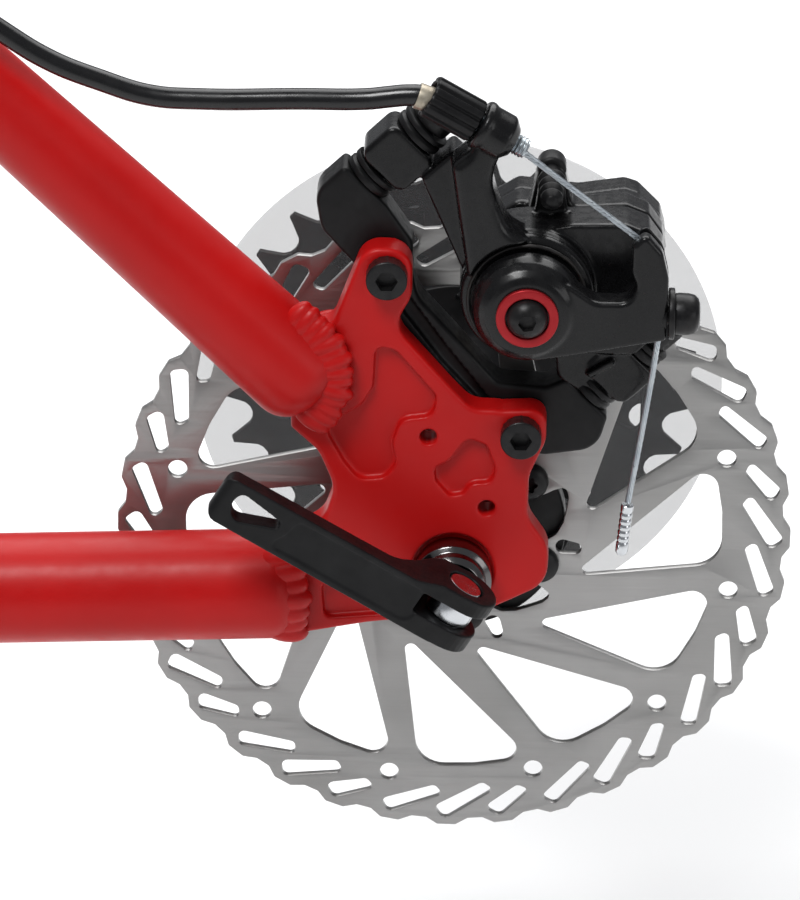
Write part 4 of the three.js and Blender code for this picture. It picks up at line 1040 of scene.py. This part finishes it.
def make_caliper():
    place(caliper_outboard(), ROOT, CASTING, ["caliper_outboard_half"], 60)
    place(caliper_inboard(), ROOT, CASTING, ["caliper_inboard_half"], 60)
    place(ribbed_boot(), ROOT, SATIN, ["body_bolt_upper"], 50)
    place(bolt_cap(), ROOT, SATIN)
    short = socket_screw("lower_body_bolt", 4, 3.6, 2.6, 22, 2.1, 0.5, 28)
    x, z = BODY_BOLTS[1]
    place(move(short, x, -65.9, z), ROOT, OXIDE, ["body_bolt_lower"])
    place(brake_pad("outer_pad", -59.4, -57.2, -54.6), "piston_and_pad", COMPOUND,
          ["brake_pad_outboard"])
    place(brake_pad("inner_pad", -46.9, -49, -51.6), "fixed_pad", COMPOUND,
          ["brake_pad_inboard"])
    piston = [(0, -67.4), (8.6, -67.4), (8.9, -67.1), (8.9, -60.1), (8.6, -59.8), (0, -59.8)]
    place(turned("piston", piston, 64, PIVOT), "piston_and_pad", BRIGHT, ["thrust_piston"])
    rim = ridged(20, ((6.6, 0), (7.2, 9)), 0.4, 3, PIVOT)
    wheel = plate("adjuster_wheel", [rim], -33.7, -28.6, 0.6, 3)
    stem = turned("stem", [(0, -46.2), (4.2, -46.2), (4.2, -30), (0, -30)], 48, PIVOT)
    hexagon = plate("hexagon", [circle(*PIVOT, 2.6, 6)], -31, -27)
    place(join("adjuster_wheel", [carve(wheel, [hexagon]), stem]), "pad_adjuster", ANODISED,
          ["pad_adjuster_knob"])


# ---------------------------------------------------------------- brake arm and cable
ARM_OUTLINE = [
    (15.5, 58.4, 2), (25.6, 60.2, 6), (47.5, 64.7, 1), (47.6, 80, 6), (46, 86.6, 4), (42, 91.3, 1.5),
    (39, 88.1, 2), (39, 81.5, 2), (40.4, 78, 3), (38.6, 73.9, 4), (31, 73.8, 5), (25, 78, 3), (15.5, 80, 1),
]


def brake_arm():
    blade = plate("arm", [rounded(ARM_OUTLINE, 8)], -84.5, -77.5, 1.0, 3)
    dome = [(0, -85.9), (8.2, -85.9), (9.6, -85.5), (11.1, -84.3), (12.3, -82.6), (12.9, -80.6), (13.0, -78.6),
            (12.6, -77.5), (0, -77.5)]
    boss = turned("boss", dome, 96, PIVOT)
    groove = plate("groove", [rounded([
        (36.5, 86.6, 0), (40.8, 84.4, 3), (44, 80.6, 4), (45.1, 76, 4), (44.9, 70, 2), (44.1, 58, 0),
        (52, 58, 0), (52, 95, 0), (36.5, 95, 0)], 6)], -81.1, -78.9)
    tools = [groove, rod("clamp_hole", (35, CABLE_Y, CLAMP_Z), (52, CABLE_Y, CLAMP_Z), 2.8, 24, 0),
             rod("pivot_hole", (PIVOT[0], -84.2, PIVOT[1]), (PIVOT[0], -70, PIVOT[1]), 4.2, 32, 0)]
    return fused_casting("arm", [blade, boss], tools, 0.26, 3, 0.4)


def domed_bolt():
    profile = [(0, -89.9)]
    for k in range(1, 9):
        angle = math.radians(90 * k / 8)
        profile.append((4.8 * math.sin(angle), -86.3 - 3.5 * math.cos(angle)))
    profile += [(4.8, -86.05), (2.1, -86.05), (2.1, -78.6), (0, -78.6)]
    bolt = turned("pivot_bolt", profile, 56, PIVOT)
    return carve(bolt, [plate("hexagon", [circle(*PIVOT, 2.1, 6, 10)], -92, -88)])


def stranded_wire(name, points, radius=0.75, strands=6, pitch=9.0, sides=3):
    """A steel inner wire: strands that twist about the wire's line."""
    line = smooth_line(points, 0.55)
    shells = []
    for k in range(strands):
        helix = []
        for distance, centre, across, up in line:
            angle = 2 * math.pi * (distance / pitch + k / strands)
            helix.append(centre + (across * math.cos(angle) + up * math.sin(angle)) * (radius * 0.62))
        shells.append(tube("strand", helix, radius * 0.38, 1, 1))
    return join(name, shells)


def smooth_line(points, spacing):
    """Evenly spaced samples of a smooth curve: (distance, centre, across, up)."""
    curve = smooth_curve("line", points, 0, 0, 24)
    maker = link("line", curve)
    mesh = maker.evaluated_get(bpy.context.evaluated_depsgraph_get()).to_mesh()
    track = [v.co / MM for v in mesh.vertices]
    discard(maker)
    samples = []
    travelled = 0.0
    due = 0.0
    for a, b in zip(track, track[1:]):
        step = (b - a).length
        along = (b - a).normalized()
        across = along.cross(Vector((0, 1, 0)))
        across = across.normalized() if across.length > 0.1 else Vector((1, 0, 0))
        up = across.cross(along).normalized()
        while due <= travelled + step and step > 0:
            samples.append((due, a.lerp(b, (due - travelled) / step), across, up))
            due += spacing
        travelled += step
    return samples


WIRE_TAIL = [
    (40.5, 88.0), (43.4, 84.6), (45.6, 80.6), (46.3, 76), (46.2, CLAMP_Z), (45.6, 62), (43.2, 42),
    (40.3, 21.2),
]


def crimped_cap():
    start = Vector((40.25, CABLE_Y, 20.8))
    profile = [(0, 0), (1.35, 0), (1.5, 0.2)]
    for k in range(6):
        y = 1.6 + k * 1.5
        profile += [(1.5, y), (1.25, y + 0.45), (1.5, y + 0.9)]
    profile += [(1.5, 12.2), (1.1, 12.9), (0, 13.1)]
    cap = turned("wire_cap", profile, 24)
    return aim(cap, start, Vector((39.2, CABLE_Y, 7.8)) - start)


def clamp_bolt():
    """The bolt at the arm's end that clamps the wire: a domed head, a wide washer and a shank."""
    start = (47.9, CABLE_Y, CLAMP_Z)
    washer = turned("washer", softened([(2.7, 0), (6.0, 0), (6.0, 1.4), (2.7, 1.4)], 0.3), 48)
    dome = [(0, 1.4), (4.7, 1.4), (4.9, 2.4), (4.8, 4.6), (4.5, 5.9), (3.7, 6.8), (2.6, 7.2), (0, 7.2)]
    head = carve(turned("head", dome, 48), [plate("hexagon", [circle(0, 0, 2.1, 6)], 4.2, 8)])
    shank = turned("shank", [(0, -12), (2.5, -12), (2.5, 1), (0, 1)], 32)
    flange = turned("flange", softened([(2.6, -1.6), (4.6, -1.6), (4.6, -0.4), (2.6, -0.4)], 0.2), 48)
    return aim(join("cable_clamp", [washer, head, shank, flange]), start, (1, 0, 0))


def barrel_adjuster():
    grooves = ridged(12, ((4.45, 0), (5.1, 4), (5.1, 21), (4.45, 25)), 0.35)
    grip = plate("barrel", [grooves, circle(0, 0, 3.5, 32)], 0, 12.6, 0.6, 3)
    return aim(grip, on_cable(-25.6), CABLE_LINE)


def adjuster_stem():
    profile = [(1.3, 9), (2.5, 9)]
    y = 12.0
    while y < 26.0:
        profile += [(2.5, y), (2.15, y + 0.4)]
        y += 0.8
    profile += [(2.2, 26.4), (1.3, 26.4)]
    return aim(turned("adjuster_stem", profile, 32), on_cable(-26.4), CABLE_LINE)


HOUSING_ROUTE = [
    (-2, -80, 118.7), (-5.5, -80, 120.6), (-9, -80, 122), (-13, -79.8, 122.1), (-17, -79.5, 121.5),
    (-22, -79.2, 120.7), (-37.3, -79, 120.2), (-59.9, -79, 119.5), (-71.3, -79, 120.1), (-82.6, -79, 123.5),
    (-93.9, -79, 128), (-105.1, -79, 135), (-112, -79, 140),
]


def make_arm():
    place(brake_arm(), "arm", CASTING, ["brake_arm"], 60)
    place(domed_bolt(), "arm", OXIDE, ["arm_bolt"])
    ring = softened([(5.0, -87.0), (7.2, -87.0), (7.2, -85.7), (5.0, -85.7)], 0.3)
    place(turned("pivot_ring", ring, 72, PIVOT), "arm", ANODISED, ["arm_ring"])
    spring = conical_spring("return_spring", -76.1, -76.9, 13.6, 13.6, 1, 0.5)
    place(move(spring, PIVOT[0], 0, PIVOT[1]), ROOT, DARK, ["arm_return_spring"], 60)
    place(clamp_bolt(), "arm", OXIDE, ["cable_clamp_bolt"])
    tail = stranded_wire("wire_tail", [in_plane(p, CABLE_Y) for p in WIRE_TAIL])
    place(tail, "arm", ZINC, ["inner_wire_tail"], 60)
    place(crimped_cap(), "arm", BRIGHT, ["cable_end_cap"])


def make_cable():
    start = Vector(in_plane(WIRE_START, CABLE_Y))
    end = Vector(in_plane(WIRE_END, CABLE_Y))
    run = stranded_wire("wire_run", [start, start.lerp(end, 0.5), end])
    place(run, "wire", ZINC, ["inner_wire_run"], 60)
    place(barrel_adjuster(), "adjuster", SATIN, ["barrel_adjuster"])
    place(adjuster_stem(), "adjuster", ZINC, angle=25)
    route = [Vector(p) for p in HOUSING_ROUTE]
    sheath = link("brake_cable_housing", smooth_curve("brake_cable_housing", route, 2.5, 6, 12))
    sheath.data.materials.append(SHEATH)
    back = (route[-1] - route[-2]).normalized()
    ferrule = turned("ferrule", [
        (0, -4), (2.9, -4), (3.1, -3.7), (3.1, 4.6), (2.6, 5.4), (1.2, 5.6), (1.2, 4.6), (0, 4.6)], 40)
    aim(ferrule, route[-1], back)
    place(ferrule, ROOT, BRIGHT, ["housing_end_cap"])
    near = turned("near_ferrule", softened([(2.5, 0), (3.05, 0), (3.05, 4.2), (2.5, 4.2)], 0.2, 2), 40)
    aim(near, (-10.9, -79.95, 122.2), (0.94, 0, -0.34))
    place(near, ROOT, FERRULE)
    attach(sheath, ROOT)
    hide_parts("brake_housing")


# ---------------------------------------------------------------- camera, floor and light
CAMERA_TARGET = Vector((-13.235, -54, 20.692)) * MM
CAMERA_DISTANCE = 1.5
CAMERA_DEGREES = (0.64, 25.739, 1.269)          # azimuth, elevation, roll
FLOOR_Z = -0.16


def make_camera():
    azimuth, elevation, roll = (math.radians(a) for a in CAMERA_DEGREES)
    back = Vector((math.sin(azimuth) * math.cos(elevation), -math.cos(azimuth) * math.cos(elevation),
                   math.sin(elevation)))
    right = Vector((math.cos(azimuth), math.sin(azimuth), 0))
    up = back.cross(right)
    x_axis = math.cos(roll) * right + math.sin(roll) * up
    y_axis = -math.sin(roll) * right + math.cos(roll) * up
    data = bpy.data.cameras.new("camera")
    data.lens = 253.8
    data.sensor_width = 36
    data.clip_start = 0.01
    camera = link("camera", data)
    pose = Matrix((x_axis, y_axis, back)).transposed().to_4x4()
    pose.translation = CAMERA_TARGET + back * CAMERA_DISTANCE
    camera.matrix_world = pose
    bpy.context.scene.camera = camera
    bpy.context.scene.view_settings.view_transform = "Standard"


def make_light(name, size, energy, position, target=(0, -0.05, 0.04)):
    data = bpy.data.lights.new(name, "AREA")
    data.shape = "RECTANGLE"
    data.size, data.size_y = size
    data.energy = energy
    light = link(name, data)
    light.location = position
    direction = Vector(target) - Vector(position)
    light.rotation_euler = direction.to_track_quat("-Z", "Y").to_euler()


def make_stage():
    world = bpy.data.worlds.new("studio")
    world.use_nodes = True
    sky = world.node_tree.nodes["Background"].inputs
    sky["Color"].default_value = (0.93, 0.95, 1.0, 1)
    sky["Strength"].default_value = 0.26
    bpy.context.scene.world = world
    bm = bmesh.new()
    bmesh.ops.create_grid(bm, x_segments=1, y_segments=1, size=4.0)
    floor = from_bmesh("floor", bm)
    floor.location.z = FLOOR_Z
    floor.data.materials.append(finish_of("paper", (0.86, 0.86, 0.86), 0.0, 0.9, None, (3, 2, 0.85, 0.95)))
    make_light("key", (0.5, 0.5), 17, (-0.45, -0.8, 1.3))
    make_light("fill", (0.8, 0.5), 2.5, (1.1, -0.9, 0.3))
    make_light("backdrop", (1.6, 1.2), 22, (0, 0.75, 1.0), (0, 0.6, FLOOR_Z))


make_camera()
make_stage()
make_cable()
make_rotor()
make_hub()
make_freehub()
make_frame_end()
make_quick_release()
make_adapter()
make_caliper()
make_arm()

# The cam is hidden inside the caliper, so its CAD mesh is kept and only gets a material.
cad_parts["drive_cam"].material_slots[0].material = BRIGHT
